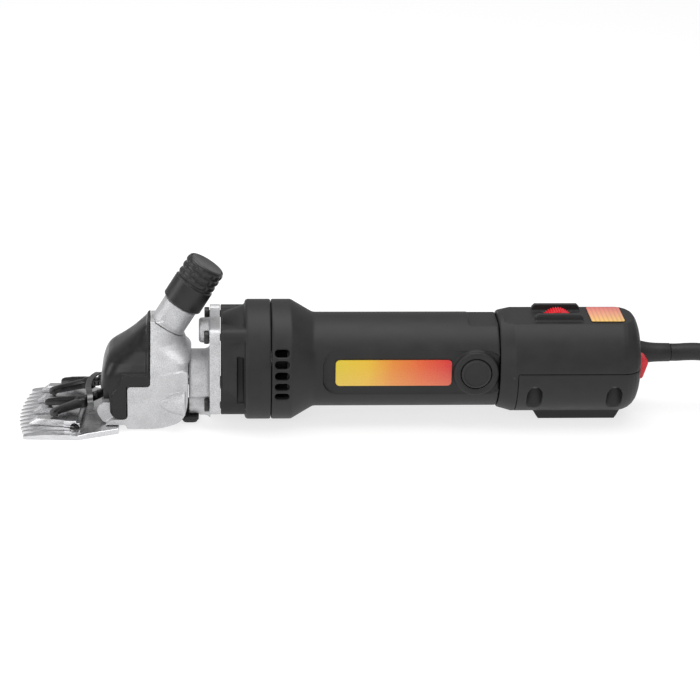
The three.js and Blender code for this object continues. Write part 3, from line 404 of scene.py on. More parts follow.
def loft(rings, closed=False):
    """A skin over rings that have equally many points, capped at both ends or closed on itself."""
    count = len(rings[0])
    corners = [tuple(point) for ring in rings for point in ring]
    last = len(rings) if closed else len(rings) - 1
    faces = []
    for r in range(last):
        a, b = r * count, (r + 1) % len(rings) * count
        faces += [(a + i, a + (i + 1) % count, b + (i + 1) % count, b + i) for i in range(count)]
    if not closed:
        faces += [tuple(range(count)), tuple(range(len(corners) - count, len(corners)))]
    return corners, faces


# Points on an axis stand this far off it, so that raw_object can merge them.
AXIS_RADIUS = 1e-4


def basis(axis):
    side = axis.cross(Z_AXIS if abs(axis.z) < 0.9 else X_AXIS).normalized()
    return side, axis.cross(side)


def lathe(outline, foot, axis, sides=96):
    """An outline turned about an axis; each point is (radius, distance along it).
    It starts and ends on the axis, or closes on itself."""
    across, up = basis(axis)
    foot = Vector(foot)
    turns = [k * TAU / sides for k in range(sides)]
    spokes = [across * math.cos(turn) + up * math.sin(turn) for turn in turns]
    rings = [[foot + axis * s + spoke * max(r, AXIS_RADIUS) for spoke in spokes] for r, s in outline]
    on_axis = min(outline[0][0], outline[-1][0]) < 10 * AXIS_RADIUS
    return loft(rings, closed=not on_axis)


def on_motor_axis(outline, sides=96):
    return lathe(outline, (0, 0, AXIS_Z), X_AXIS, sides)


def rod(radius, foot, axis, start, end, sides=64):
    return lathe([(0, start), (radius, start), (radius, end), (0, end)], foot, axis, sides)


def arc(centre_a, centre_b, radius, start, end, steps=8):
    """Points on an arc in the outline's plane, from one angle to another in degrees."""
    turns = [math.radians(start + (end - start) * i / steps) for i in range(steps + 1)]
    return [(centre_a + radius * math.cos(t), centre_b + radius * math.sin(t)) for t in turns]


def round_rect(a0, a1, b0, b1, r, steps=8):
    return (arc(a1 - r, b0 + r, r, -90, 0, steps) + arc(a1 - r, b1 - r, r, 0, 90, steps)
            + arc(a0 + r, b1 - r, r, 90, 180, steps) + arc(a0 + r, b0 + r, r, 180, 270, steps))


def rounded(points, radius, steps=5):
    """The outline with each corner rounded, by at most that radius."""
    result = []
    count = len(points)
    for i, (a, b) in enumerate(points):
        here = Vector((a, b))
        before, after = Vector(points[i - 1]), Vector(points[(i + 1) % count])
        cut = min(radius, (before - here).length * 0.45, (after - here).length * 0.45)
        start, end = here + (before - here).normalized() * cut, here + (after - here).normalized() * cut
        for k in range(steps + 1):
            t = k / steps
            point = start * (1 - t) ** 2 + here * 2 * t * (1 - t) + end * t * t
            result.append((point.x, point.y))
    return result


def moved(solid, matrix):
    corners, faces = solid
    return [tuple(matrix @ Vector(c)) for c in corners], faces


def swung(solid):
    """Turned with the fork from straight to where it rests."""
    centre = Matrix.Translation(pivot("fork_swing"))
    return moved(solid, centre @ FORK_REST @ centre.inverted())


# ------------------------------------------------------------------ meshes
def raw_object(name, solids):
    """One object holding all the solids, faces pointing out, in metres."""
    bm = bmesh.new()
    for corners, faces in solids:
        made = [bm.verts.new(Vector(c) * MM) for c in corners]
        for face in faces:
            around = [made[i] for i in face]
            if not bm.faces.get(around):
                bm.faces.new(around)
    bmesh.ops.remove_doubles(bm, verts=bm.verts, dist=1e-6)
    bmesh.ops.recalc_face_normals(bm, faces=bm.faces)
    mesh = bpy.data.meshes.new(name)
    bm.to_mesh(mesh)
    bm.free()
    piece = bpy.data.objects.new(name, mesh)
    bpy.context.scene.collection.objects.link(piece)
    return piece


def apply_modifiers(piece):
    bpy.context.view_layer.update()
    graph = bpy.context.evaluated_depsgraph_get()
    made = bpy.data.meshes.new_from_object(piece.evaluated_get(graph), depsgraph=graph)
    piece.modifiers.clear()
    old = piece.data
    piece.data = made
    bpy.data.meshes.remove(old)
    made.name = piece.name


def combine(piece, solids, operation):
    """Joins each solid to the piece, cuts it out, or keeps only what the two share."""
    for solid in solids:
        tool = raw_object("tool", [solid])
        modifier = piece.modifiers.new("combine", "BOOLEAN")
        modifier.operation = operation
        modifier.object = tool
        modifier.solver = "MANIFOLD"
        apply_modifiers(piece)
        bpy.data.objects.remove(tool)


def united(name, solids):
    """One object of all the solids joined, with nothing left inside."""
    piece = raw_object(name, solids[:1])
    combine(piece, solids[1:], "UNION")
    return piece


def shaped(solids, cuts=(), keep=()):
    """A solid for later joins: the solids less the cuts, and of that only what lies in keep."""
    piece = raw_object("blank", solids)
    combine(piece, cuts, "DIFFERENCE")
    combine(piece, keep, "INTERSECT")
    mesh = piece.data
    solid = ([tuple(v.co / MM) for v in mesh.vertices], [tuple(p.vertices) for p in mesh.polygons])
    bpy.data.objects.remove(piece)
    return solid


def moulded(name, adds, cuts=(), voxel=0.5, smooth=3, keep=0.4, later=()):
    """A cast or moulded body: solids joined and cut, with every edge rounded as a mould leaves it.
    later holds cuts made after the rounding, whose edges stay sharp."""
    piece = united(name, adds)
    combine(piece, cuts, "DIFFERENCE")
    remesh = piece.modifiers.new("remesh", "REMESH")
    remesh.mode = "VOXEL"
    remesh.voxel_size = voxel * MM
    remesh.use_smooth_shade = True
    soft = piece.modifiers.new("smooth", "SMOOTH")
    soft.iterations = smooth
    soft.factor = 0.5
    thin = piece.modifiers.new("thin", "DECIMATE")
    thin.ratio = keep
    apply_modifiers(piece)
    combine(piece, later, "DIFFERENCE")
    shade(piece, 40)
    return piece


def machined(name, adds, cuts=(), bevel=0.25, segments=2, angle=30, flat=35):
    """A body with crisp faces and narrow bevelled edges."""
    piece = united(name, adds)
    combine(piece, cuts, "DIFFERENCE")
    if bevel:
        modifier = piece.modifiers.new("bevel", "BEVEL")
        modifier.width = bevel * MM
        modifier.segments = segments
        modifier.limit_method = "ANGLE"
        modifier.angle_limit = math.radians(angle)
        apply_modifiers(piece)
    shade(piece, flat)
    return piece


def shade(piece, angle):
    """Smooth shading, with edges sharper than the angle kept sharp."""
    bm = bmesh.new()
    bm.from_mesh(piece.data)
    for face in bm.faces:
        face.smooth = True
    for edge in bm.edges:
        edge.smooth = len(edge.link_faces) == 2 and edge.calc_face_angle(0) < math.radians(angle)
    bm.to_mesh(piece.data)
    bm.free()


def attach(piece, node, slot, look=None):
    """The piece moves with the node's body and has the finish of the slot."""
    piece.data.materials.clear()
    piece.data.materials.append(look or LOOKS[slot])
    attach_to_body(piece, BODY_OF[node])
    return piece


def settle(piece, node, look=None):
    """The piece stands for its CAD node."""
    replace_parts(attach(piece, node, SLOT_OF[node], look), node)
    return piece


# ------------------------------------------------------------------ mains cord
HANK_BEND = 30
CORD_RADIUS = (high("cord_coil").y - low("cord_coil").y) / 2 - HANK_BEND
CORD_Y = (high("strain_relief").y + low("strain_relief").y) / 2
CORD_START_X = 190.3
HANK_START_X = low("mains_plug").x - GAP - 10
HANK_NEAR_Y = low("cord_coil").y + CORD_RADIUS
HANK_RUN = 111
HANK_TURNS = 7
HANK_RISE = 2.08 * CORD_RADIUS
PLUG_LIFT = 3.3
# The free cord's route, as (x, y, z), down to the hank's lowest run.
ROUTE = [
    (CORD_START_X, CORD_Y, 33), (194, CORD_Y, 33), (199, CORD_Y, 33.3), (206, 8.7, 33.4), (214.7, 7.7, 32.5),
    (223.1, 6.2, 29.8), (230.7, 4.6, 25.4), (237.2, 3.1, 19.5), (243.9, 1.5, 13.2), (251.5, -0.1, 8.8),
    (259.9, -1.6, 6.1), (268.6, -2.7, 5.2), (279.7, -3, 5.05), (286, -3, 5),
]


def hank_point(turn):
    """A place on the hank's centreline; turn counts whole turns from the start of its lowest near run."""
    fold = math.pi * HANK_BEND
    around = 2 * HANK_RUN + 2 * fold
    s = (turn % 1) * around
    far_y = HANK_NEAR_Y + 2 * HANK_BEND
    middle_y = HANK_NEAR_Y + HANK_BEND
    end_x = HANK_START_X + HANK_RUN
    climb = smooth_step((turn % 1 - 0.3) / 0.5)
    z = CORD_RADIUS + HANK_RISE * (math.floor(turn) + climb)
    z += PLUG_LIFT * smooth_step((turn - HANK_TURNS + 0.25) / 0.25)
    if s < HANK_RUN:
        return Vector((HANK_START_X + s, HANK_NEAR_Y, z))
    s -= HANK_RUN
    if s < fold:
        angle = s / HANK_BEND
        return Vector((end_x + HANK_BEND * math.sin(angle), middle_y - HANK_BEND * math.cos(angle), z))
    s -= fold
    if s < HANK_RUN:
        return Vector((end_x - s, far_y, z))
    angle = (s - HANK_RUN) / HANK_BEND
    return Vector((HANK_START_X - HANK_BEND * math.sin(angle), middle_y + HANK_BEND * math.cos(angle), z))


def smooth_step(t):
    t = min(1, max(0, t))
    return t * t * (3 - 2 * t)


def mains_cord():
    """Out of the rear face, down to the surface and round the folded hank, which ends in the plug."""
    steps = 42
    points = [Vector(place) for place in ROUTE]
    points += [hank_point(i / steps) for i in range(HANK_TURNS * steps)]
    last = hank_point(HANK_TURNS)
    last.z = CORD_RADIUS + HANK_RISE * HANK_TURNS + PLUG_LIFT
    points += [last, last + X_AXIS * 5, last + X_AXIS * 10.2]
    curve = bpy.data.curves.new("mains_cord", "CURVE")
    curve.dimensions = "3D"
    curve.bevel_depth = CORD_RADIUS * MM
    curve.bevel_resolution = 5
    curve.resolution_u = 4
    curve.use_fill_caps = True
    spline = curve.splines.new("BEZIER")
    spline.bezier_points.add(len(points) - 1)
    for knot, point in zip(spline.bezier_points, points):
        knot.co = point * MM
        knot.handle_left_type = knot.handle_right_type = "AUTO"
    curve.materials.append(LOOKS["black_rubber"])
    cord = bpy.data.objects.new("mains_cord", curve)
    bpy.context.scene.collection.objects.link(cord)
    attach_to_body(cord, BODY_OF["power_cord"])
    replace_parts(cord, "power_cord", "cord_coil")
    return cord


def hank_ties():
    """Two hook-and-loop straps, one round each run of the hank."""
    top = 2 * CORD_RADIUS + HANK_RISE * (HANK_TURNS - 1)
    straps = []
    for x, y in ((HANK_START_X + 88, HANK_NEAR_Y), (HANK_START_X + 40, HANK_NEAR_Y + 2 * HANK_BEND)):
        around = round_rect(y - 5.3, y + 5.3, 0.35, top + 0.3, 4.4)
        wider = round_rect(y - 6.1, y + 6.1, 0.02, top + 1.1, 5.0)
        rings = []
        for edge, half in ((around, 6), (around, -6), (wider, -6), (wider, 6)):
            rings.append([(x + half, a, b) for a, b in edge])
        straps.append(loft(rings, closed=True))
    strap = machined("hank_ties", straps, bevel=0.2, segments=1, angle=50)
    return attach(strap, "cord_coil", "black_rubber")


def strain_relief():
    """A rubber sleeve that flares towards the housing."""
    lo, hi = low("strain_relief"), high("strain_relief")
    flare = [(6.9, 0), (7.15, 0.4), (7.15, 1.2), (6.75, 3), (6.3, 5), (5.9, 7), (5.6, 9), (5.4, 11.5),
             (5.3, 14)]
    outline = [(0, lo.x)] + [(r, lo.x + along) for r, along in flare]
    outline += [(5.2, hi.x - 0.4), (5.05, hi.x), (0, hi.x)]
    sleeve = machined("relief_sleeve", [lathe(outline, (0, CORD_Y, AXIS_Z), X_AXIS, 48)], bevel=0.15)
    return settle(sleeve, "strain_relief")


def mains_plug():
    """A moulded two-pin plug with a waisted grip and grip ribs, lying along the hank's near run."""
    lo, hi = low("mains_plug"), high("mains_plug")
    middle = middle_of("mains_plug")
    back, front = lo.x, lo.x + 37.7
    rings = []
    sections = [(0, 6.2, 6.2), (2, 6.5, 6.5), (10, 8.5, 7.4), (16, 13.2, 8.3), (22, 15.2, 8.5),
                (32, 15.6, 8.5), (36.9, 15.4, 8.3), (37.7, 14.6, 7.6)]
    for along, half_y, half_z in sections:
        ring = []
        power = 2 / (2.2 + 1.6 * along / 37.7)
        for k in range(48):
            a, b = math.cos(k * TAU / 48), math.sin(k * TAU / 48)
            ring.append((
                back + along,
                middle.y + half_y * math.copysign(abs(a) ** power, a),
                middle.z + half_z * math.copysign(abs(b) ** power, b),
            ))
        rings.append(ring)
    ribs = [box(back + x, back + x + 1.1, middle.y + side * 15.4 - 1.2, middle.y + side * 15.4 + 1.2,
                middle.z - 9, middle.z + 9) for side in (-1, 1) for x in (19.5, 22.5, 25.5, 28.5)]
    body = moulded("plug_grip", [loft(rings)], ribs, voxel=0.6, smooth=2, keep=0.5)
    settle(body, "mains_plug")
    pins = []
    for side in (-1, 1):
        foot = (0, middle.y + side * 9.5, middle.z)
        outline = [(0, front - 2), (2.4, front - 2), (2.4, hi.x - 1.6), (1.6, hi.x - 0.3), (0, hi.x - 0.1)]
        pins.append(lathe(outline, foot, X_AXIS, 24))
    metal = machined("plug_pins", pins, bevel=0)
    return body, attach(metal, "mains_plug", "polished_steel")


def cord_pieces():
    cord = mains_cord()
    sleeve = strain_relief()
    grip, pins = mains_plug()
    hank_ties()


camera()
studio()
cord_pieces()


# ------------------------------------------------------------------ comb, cutter and yokes
COMB_TEETH = 13
COMB_PITCH = 5.55
ROOT_HALF, NECK_HALF, NOSE_HALF, TIP_HALF = 2.0, 1.5, 0.95, 0.65


def comb():
    """A row of 13 teeth, hollow ground above and below, on a heel with two screw slots."""
    lo, hi = low("comb"), high("comb")
    half = COMB_TEETH // 2
    root, kink = lo.x + 31.3, lo.x + 33.9
    points = [(hi.x, -28.7), (kink, lo.y)]
    for i in range(-half, half + 1):
        y = i * COMB_PITCH
        outward = 2.2 if abs(i) == half else 0
        tip = lo.x + 4.2 * (i / half) ** 2
        left = y - outward if i == -half else y
        right = y + outward if i == half else y
        if i > -half:
            points += [(root - 1, y - ROOT_HALF), (tip + 6, y - NECK_HALF)]
        points += [(tip + 1.4, left - NOSE_HALF), (tip + 0.5, left - TIP_HALF), (tip, left - 0.2),
                   (tip, right + 0.2), (tip + 0.5, right + TIP_HALF), (tip + 1.4, right + NOSE_HALF)]
        if i < half:
            points += [(tip + 6, y + NECK_HALF), (root - 1, y + ROOT_HALF), (root + 0.2, y + COMB_PITCH / 2)]
    points += [(kink, hi.y), (hi.x, 28.7)]
    plate = prism(points, lo.z, hi.z, "Z")
    top = hi.z
    nose = prism([(lo.x - 6, 0.8), (lo.x, 1.0), (lo.x + 7, 2.2), (lo.x + 16, top), (lo.x + 16, top + 3),
                  (lo.x - 6, top + 3)], -45, 45, "Y")
    under = prism([(lo.x - 6, -2), (lo.x - 6, 0.6), (lo.x, 0.35), (lo.x + 4, -0.01), (lo.x + 4, -2)],
                  -45, 45, "Y")
    hollow = lathe([(0, -60), (26, -60), (26, 60), (0, 60)], (lo.x + 33.6, 0, top + 25.55), Y_AXIS, 192)
    cuts = [nose, under, hollow]
    countersink = [(0, -1), (5.2, -1), (5.2, 0.4), (2.8, 2.4), (0, 2.4)]
    for node in ("comb_screw_near", "comb_screw_far"):
        screw = middle_of(node)
        cuts.append(box(screw.x, hi.x + 5, screw.y - 2.8, screw.y + 2.8, -1, top + 2))
        cuts.append(rod(2.8, (screw.x, screw.y, 0), Z_AXIS, -1, top + 2, 32))
        cuts.append(lathe(countersink, (screw.x, screw.y, 0), Z_AXIS, 32))
    settle(machined("comb_plate", [plate], cuts, bevel=0.18, segments=1, angle=40, flat=8), "comb")


def cutter():
    """Four tines with chisel noses on a bar, arched underneath."""
    lo, hi = low("cutter"), high("cutter")
    bottom, top = lo.z, hi.z
    tip, bar_front, bar_back = -166.0, -146.5, -138.0
    solids = []
    for i in (-1.5, -0.5, 0.5, 1.5):
        y = i * 3 * COMB_PITCH
        tine = [(tip, y - 1.8), (tip, y + 1.8), (bar_front + 0.5, y + 4.1), (bar_front + 0.5, y - 4.1)]
        solids.append(prism(tine, bottom, top, "Z"))
    solids.append(box(bar_front, bar_back, -30, 30, bottom, top))
    slope = prism([(tip - 1, bottom + 0.1), (tip, bottom + 0.3), (tip + 4.4, top), (tip + 4.4, top + 3),
                   (tip - 1, top + 3)], -40, 40, "Y")
    arch = rod(2.5, ((bar_front + bar_back) / 2 + 1.6, 0, bottom - 0.2), Y_AXIS, -40, 40, 48)
    ledge = prism([(bar_back - 1.8, top - 1.2), (bar_back + 1, top - 1.2), (bar_back + 1, top + 1),
                   (bar_back - 1.8, top + 1)], -40, 40, "Y")
    piece = machined("cutter_blade", [swung(s) for s in solids], [swung(s) for s in (slope, arch, ledge)],
                     bevel=0.15, segments=1, angle=40, flat=8)
    settle(piece, "cutter")


# A forged bar's section, one unit wide and high.
FORGED = [(-0.5, -0.3), (-0.5, 0.22), (-0.2, 0.5), (0.2, 0.5), (0.5, 0.22), (0.5, -0.3), (0.3, -0.5),
          (-0.3, -0.5)]


def forged_bar(stations):
    """A bar through (centre, width, height) stations with chamfered upper edges."""
    rings = []
    for i, (centre, width, height) in enumerate(stations):
        ahead, behind = stations[min(i + 1, len(stations) - 1)][0], stations[max(i - 1, 0)][0]
        side = Z_AXIS.cross(ahead - behind).normalized()
        rings.append([centre + side * a * width + Z_AXIS * b * height for a, b in FORGED])
    return loft(rings)


def yokes():
    """Two forged forks; each presses one pair of cutter tines down with its two fingers."""
    hub_x, hub_y, hub_z = -138, 14.5, 12.4
    cutter_top = high("cutter").z
    pins = [Vector((-158, 8.3, 0)), Vector((-153, 25, 0))]
    for label, side in (("near", -1), ("far", 1)):
        solids = []
        for pin in pins:
            root = Vector((hub_x + 3, side * hub_y, hub_z + 0.6))
            tip = Vector((pin.x - 1.4, side * pin.y, 9.2))
            stations = []
            for t, width, height in [(0, 4.6, 5.2), (0.3, 4.4, 5.0), (0.7, 3.9, 4.3), (0.93, 3.6, 3.8),
                                     (0.985, 2.9, 3.1), (1, 1.8, 2.2)]:
                stations.append((root.lerp(tip, t) + Z_AXIS * 0.6 * math.sin(math.pi * t), width, height))
            solids.append(forged_bar(stations))
            outline = [(0, cutter_top + GAP), (1.1, cutter_top + GAP), (1.5, cutter_top + 1), (1.5, 10.2),
                       (0, 10.2)]
            solids.append(lathe(outline, (pin.x + 1.2, side * pin.y, 0), Z_AXIS, 24))
        shank = []
        for x, width, height in [(hub_x - 2, 5.0, 5.2), (hub_x + 4, 4.8, 4.8), (-128, 4.4, 4.4),
                                 (-126.9, 3.6, 3.6)]:
            t = (x - hub_x) / 11
            shank.append((Vector((x, side * (hub_y - 5.1 * t), hub_z + 0.3 + 3.6 * t)), width, height))
        solids.append(forged_bar(shank))
        knuckle = [(0, -2.8), (3.0, -2.8), (3.9, -2.0), (4.1, 0.6), (3.6, 2.2), (2.4, 3.0), (0, 3.2)]
        solids.append(lathe(knuckle, (hub_x, side * hub_y, hub_z), Z_AXIS, 40))
        ridge = [(0, -0.7), (2.0, -0.7), (2.9, 0), (2.0, 0.7), (0, 0.7)]
        for notch in range(3):
            across = side * (hub_y - 1.6 - 1.05 * notch)
            foot = Vector((hub_x + 3.4 + notch * 2.3, across, hub_z + 1.4 + 0.75 * notch))
            solids.append(lathe(ridge, foot, X_AXIS, 24))
        solids = [swung(solid) for solid in solids]
        piece = machined(f"yoke_forging_{label}", solids, bevel=0.22, angle=35)
        settle(piece, f"yoke_{label}")


def yoke_spring():
    """A bright strip that bends over both yokes and holds them on the fork."""
    path = [(-131.6, 20.6, 12.8), (-131.6, 20, 15.6), (-132.2, 17.4, 17.6), (-133.8, 12.5, 18.4),
            (-135.4, 6.5, 18.3), (-136, 0, 17.6), (-135.6, -6.5, 17.4), (-134.4, -12.5, 17.7),
            (-133.4, -17.2, 17), (-133, -19.8, 15.2), (-132.8, -20.6, 12.6), (-133.6, -20.4, 10.6)]
    smooth_path = []
    for i in range(len(path) - 1):
        before, a = Vector(path[max(i - 1, 0)]), Vector(path[i])
        b, after = Vector(path[i + 1]), Vector(path[min(i + 2, len(path) - 1)])
        for k in range(6):
            t = k / 6
            smooth_path.append(0.5 * (2 * a + (b - before) * t + (2 * before - 5 * a + 4 * b - after) * t * t
                                      + (3 * a - before - 3 * b + after) * t ** 3))
    smooth_path.append(Vector(path[-1]))
    width, thick = 3.3, 0.9
    section = [(-1, -0.6), (-0.9, -1), (0.9, -1), (1, -0.6), (1, 0.6), (0.9, 1), (-0.9, 1), (-1, 0.6)]
    rings = []
    for i, point in enumerate(smooth_path):
        ahead = smooth_path[min(i + 1, len(smooth_path) - 1)]
        behind = smooth_path[max(i - 1, 0)]
        along = (ahead - behind).normalized()
        flat = (X_AXIS - along * X_AXIS.dot(along)).normalized()
        normal = along.cross(flat)
        rings.append([point + flat * a * width / 2 + normal * b * thick / 2 for a, b in section])
    settle(machined("spring_strip", [swung(loft(rings))], bevel=0), "yoke_spring")


comb()
cutter()
yokes()
yoke_spring()


# ------------------------------------------------------------------ head casting, cover and tension knob
# The plane between cover and casting, the cover's half-widths and its front, both by height.
RIM_X = -101.35
HOOD_TOP = 58.2
HOOD_SIDE = [(0, 24.3), (31.4, 24.3), (34, 23.7), (38, 22.2), (44, 19), (50, 14.8), (56, 11), (60.5, 9)]
HOOD_FRONT = [(0, -128.9), (24, -128.9), (31, -127.9), (36.5, -126.3), (39.2, -125), (41.2, -123.2),
              (44.4, -118.6), (49.6, -111.8), (55, -105.8), (58.4, -102)]


# The casting's rear along its middle, which leans forward above the neck.
BARREL_REAR = [(0, -80.6), (36, -80.6), (38, -78.9), (40, -79.4), (44, -81.2), (49, -82.9), (60, -83.2)]


def between(table, z):
    """The value at z on a line through the table's points."""
    for (z0, a), (z1, b) in zip(table, table[1:]):
        if z <= z1:
            return a + (b - a) * max(0, z - z0) / (z1 - z0)
    return table[-1][1]


def d_section(flat_x, round_x, half, power, z, steps=20):
    """A level outline, flat at one end and rounded at the other; a higher power makes its corners tighter."""
    ring = [(flat_x, -half, z)]
    for k in range(2 * steps + 1):
        angle = -TAU / 4 + k * TAU / (4 * steps)
        a, b = abs(math.cos(angle)), math.sin(angle)
        ring.append((flat_x + (round_x - flat_x) * (0.06 + 0.94 * a ** (2 / power)),
                     half * math.copysign(abs(b) ** (2 / power), b), z))
    ring.append((flat_x, half, z))
    return ring


def head_casting():
    """An open trough under the fork, a barrel that narrows upwards, and the leaning stem."""
    rear, half, floor_z, step_z = -80.6, high("head_cover").y, 6.8, 25.7
    outline = [(-126, 3.6), (-125.4, 3.3), (-114.6, 3.3), (-114.2, 0.4), (-102, 0.4), (-94, 1.6), (-86, 4.2),
               (-82.6, 8), (-81, 14), (rear, 20), (rear, 34.2), (-84, 34.2), (RIM_X + 0.15, 31),
               (RIM_X + 0.15, step_z), (-113.9, step_z), (-113.9, floor_z), (-122.4, floor_z - 0.1)]
    section = prism(round_rect(-half, half, 0.4, 60, 2.2), -140, -70, "X")
    cheek = [(-127, 3.3), (-130.5, 8.6), (-130.5, 12.5), (-127, 15.5), (-112, 15.5), (-112, 3.3)]
    barrel = []
    for z in [22, 25, 28, 30, 31.2, 32.4, 33.6, 35, 36.5, 38, 40, 42, 44, 46.5, 49, 51.5, 54, 56.5, 58]:
        blend = smooth_step((z - 30) / 16)
        side = between(HOOD_SIDE, z) + 0.5 * (1 - blend)
        barrel.append(d_section(RIM_X + 0.15, between(BARREL_REAR, z), side, 9 - 6.9 * blend, z))
    adds = [
        shaped([prism(rounded(outline, 2.2), -half, half, "Y")], keep=[section]),
        prism(rounded(cheek, 2), -20.8, 20.8, "Y"),
        loft(barrel),
        lathe([(0, -7), (9.8, -7), (9.8, 14.2), (9.4, 14.6), (0, 14.6)], STEM_FOOT, LEAN, 96),
        rod(6.5, STEM_FOOT, LEAN, -29, 0),
    ]
    bullet = [(0, -97.4), (1.4, -97), (3.4, -94.6), (5.2, -91), (6.5, -87), (7.2, -83.6), (7.2, -82.2),
              (0, -82.2)]
    adds += [lathe(bullet, (0, side * 23, 16), X_AXIS, 64) for side in (-1, 1)]
    cuts = [
        rod(3.4, STEM_FOOT, LEAN, -60, 40, 32),
        box(-90, -70, -14, 14, 11.5, 26),
        box(-140, -84, -18.9, 18.9, floor_z, 23.4),
        box(-140, -102.4, -18.9, 18.9, 20, 26),
        box(-85, -70, -15.3, 15.3, -2, 4.8),
        box(rear, -60, -30, 30, 0, 33),
        rod(18.9, (0, 0, 19.6), X_AXIS, rear, -60, 96),
    ]
    for side, node in ((-1, "comb_screw_near"), (1, "comb_screw_far")):
        cuts.append(rod(2.5, (low(node).x + 4.7, side * 13, 0), Z_AXIS, 0, 20, 24))
    groove = lathe([(9.5, -0.3), (13, -0.3), (13, 0.3), (9.5, 0.3)], STEM_FOOT + LEAN * 0.6, LEAN, 96)
    piece = moulded("head_cast_body", adds, cuts, voxel=0.4, smooth=4, later=[groove])
    settle(piece, "head_casting")


def hood(inset, z_low, z_high, rear_x):
    """The cover's outer shape, or a smaller copy of it for its inside."""
    levels = [z_low] + [z for z in range(8, 60, 2) if z_low < z < z_high] + [z_high]
    rings = []
    for z in levels:
        power = 7 - 4 * smooth_step((z - 24) / 24)
        front = min(between(HOOD_FRONT, z + inset * 0.6) + inset, rear_x - 0.4)
        rings.append(d_section(rear_x, front, between(HOOD_SIDE, z + inset * 0.6) - inset, power, z))
    return loft(rings)


def head_cover():
    """A thin hood over the front of the head, with a raised lower panel and a lip along its rear rim."""
    floor_z, step_z = low("head_cover").z, 26.0
    rim = RIM_X - 0.15
    panel = [(rim, 32.3), (-115.7, 32.3), (-119.4, 24.5), (-122, 21.5), (-122.2, 9), (-120.6, floor_z),
             (-114.2, floor_z), (-114.2, step_z), (rim, step_z)]
    below = [(-140, -5), (-140, 23.6), (-128.2, 23.6), (-125.8, 22.6), (-123.9, 21), (-123.5, 18),
             (-123.3, 10.4), (-121.6, 8), (-119.6, floor_z), (-114.2, floor_z), (-114.2, -5)]
    adds = [hood(0, floor_z, HOOD_TOP, rim)]
    adds += [prism(panel, side * 21, side * 24.8, "Y") for side in (-1, 1)]
    adds.append(shaped([hood(-0.35, step_z + 7, HOOD_TOP, rim)], keep=[box(-103.2, -90, -40, 40, 0, 80)]))
    cuts = [
        hood(2.2, -1, 56.5, -99),
        prism(below, -40, 40, "Y"),
        box(-114.2, -90, -40, 40, -5, step_z),
        prism(round_rect(-20.2, 20.2, -20, 23.4, 5), -140, -112, "X"),
        rod(10.9, (-90.8, 0, 0), Z_AXIS, 20, 70, 96),
        rod(10.3, STEM_FOOT, LEAN, -7, 40, 96),
        rod(6.8, STEM_FOOT, LEAN, -30, 0),
        box(-135, -110, -21.2, 21.2, 0, 16),
    ]
    settle(moulded("cover_shell", adds, cuts, voxel=0.4), "head_cover")


def access_plug():
    """A soft pad that closes the hole under the rear of the head."""
    lo, hi = low("access_plug"), high("access_plug")
    adds = [prism(round_rect(lo.x, hi.x, lo.y, hi.y, 3), lo.z + 1.2, hi.z, "Z"),
            prism(round_rect(lo.x + 0.9, hi.x - 0.9, lo.y + 0.9, hi.y - 0.9, 2.4), lo.z, hi.z, "Z")]
    settle(moulded("plug_pad", adds, voxel=0.35, smooth=2, keep=0.5), "access_plug")


def tension_knob():
    """A turned knob: fine straight knurl below, a groove, then three scalloped rings."""
    start, length, radius = 15.0, 26.6, 11.5
    sides, scallops, knurls = 216, 12, 90
    bore_radius, bore_depth, knurl_end = 3.6, 12, 13.4
    across, up = basis(LEAN)
    turns = [k * TAU / sides for k in range(sides)]

    def ring(along, reaches):
        foot = STEM_FOOT + LEAN * (start + along)
        return [foot + (across * math.cos(turn) + up * math.sin(turn)) * reach
                for turn, reach in zip(turns, reaches)]

    # Each station: distance along the knob, radius, depth of the knurl, depth of the scallops.
    stations = [(0.0, bore_radius, 0, 0), (0.0, radius - 1.1, 0, 0), (0.35, radius - 0.5, 0, 0),
                (0.9, radius - 0.12, 0, 0)]
    stations += [(1.2 + i * (knurl_end - 1.4) / 22, radius - 0.12, 0.1, 0) for i in range(23)]
    stations += [(knurl_end + 0.3, radius - 0.9, 0, 0), (knurl_end + 0.9, radius - 0.95, 0, 0)]
    for ring_start in (14.6, 18.6, 22.4):
        for k in range(9):
            swell = math.sin(math.pi * k / 8) ** 0.5 if 0 < k < 8 else 0
            stations.append((ring_start + 3.3 * k / 8, radius - 1.1 + 0.75 * swell, 0, 0.35 * swell))
    stations += [(length - 0.5, radius - 0.9, 0, 0), (length, radius - 1.5, 0, 0), (length, 9.9, 0, 0),
                 (length - 1.3, 9.8, 0, 0), (length - 1.4, 0.01, 0, 0)]
    rings = [ring(bore_depth, [0.01] * sides), ring(bore_depth, [bore_radius] * sides)]
    for along, r, knurl, scallop in stations:
        waves = [knurl * (0.5 + 0.5 * math.cos(knurls * turn + (along * 2.2))) for turn in turns]
        dips = [scallop * max(0, math.cos(scallops * turn)) ** 2 for turn in turns]
        rings.append(ring(along, [r - wave - dip for wave, dip in zip(waves, dips)]))
    settle(machined("knob_grip", [loft(rings)], bevel=0), "tension_knob", look=knob_black())
    end = start + length
    disc = [(0, end - 1.1), (9.5, end - 1.1), (9.6, end - 0.4), (9.2, end + 0.12), (8.2, end + 0.2),
            (7.9, end + 0.05), (0, end + 0.02)]
    # The end disc's lighter black is painted light on the knob's upward face.
    piece = machined("knob_disc", [lathe(disc, STEM_FOOT, LEAN, 96)], bevel=0)
    settle(piece, "knob_cap", look=knob_disc())


head_casting()
head_cover()
access_plug()
tension_knob()


# ------------------------------------------------------------------ gearbox
SCREW_REACH = 19.75
CORNERS = [("near_low", -1, -1), ("near_high", -1, 1), ("far_low", 1, -1), ("far_high", 1, 1)]
FLANGE_HALF = 24.0
FLANGE_LOBE = 5.2


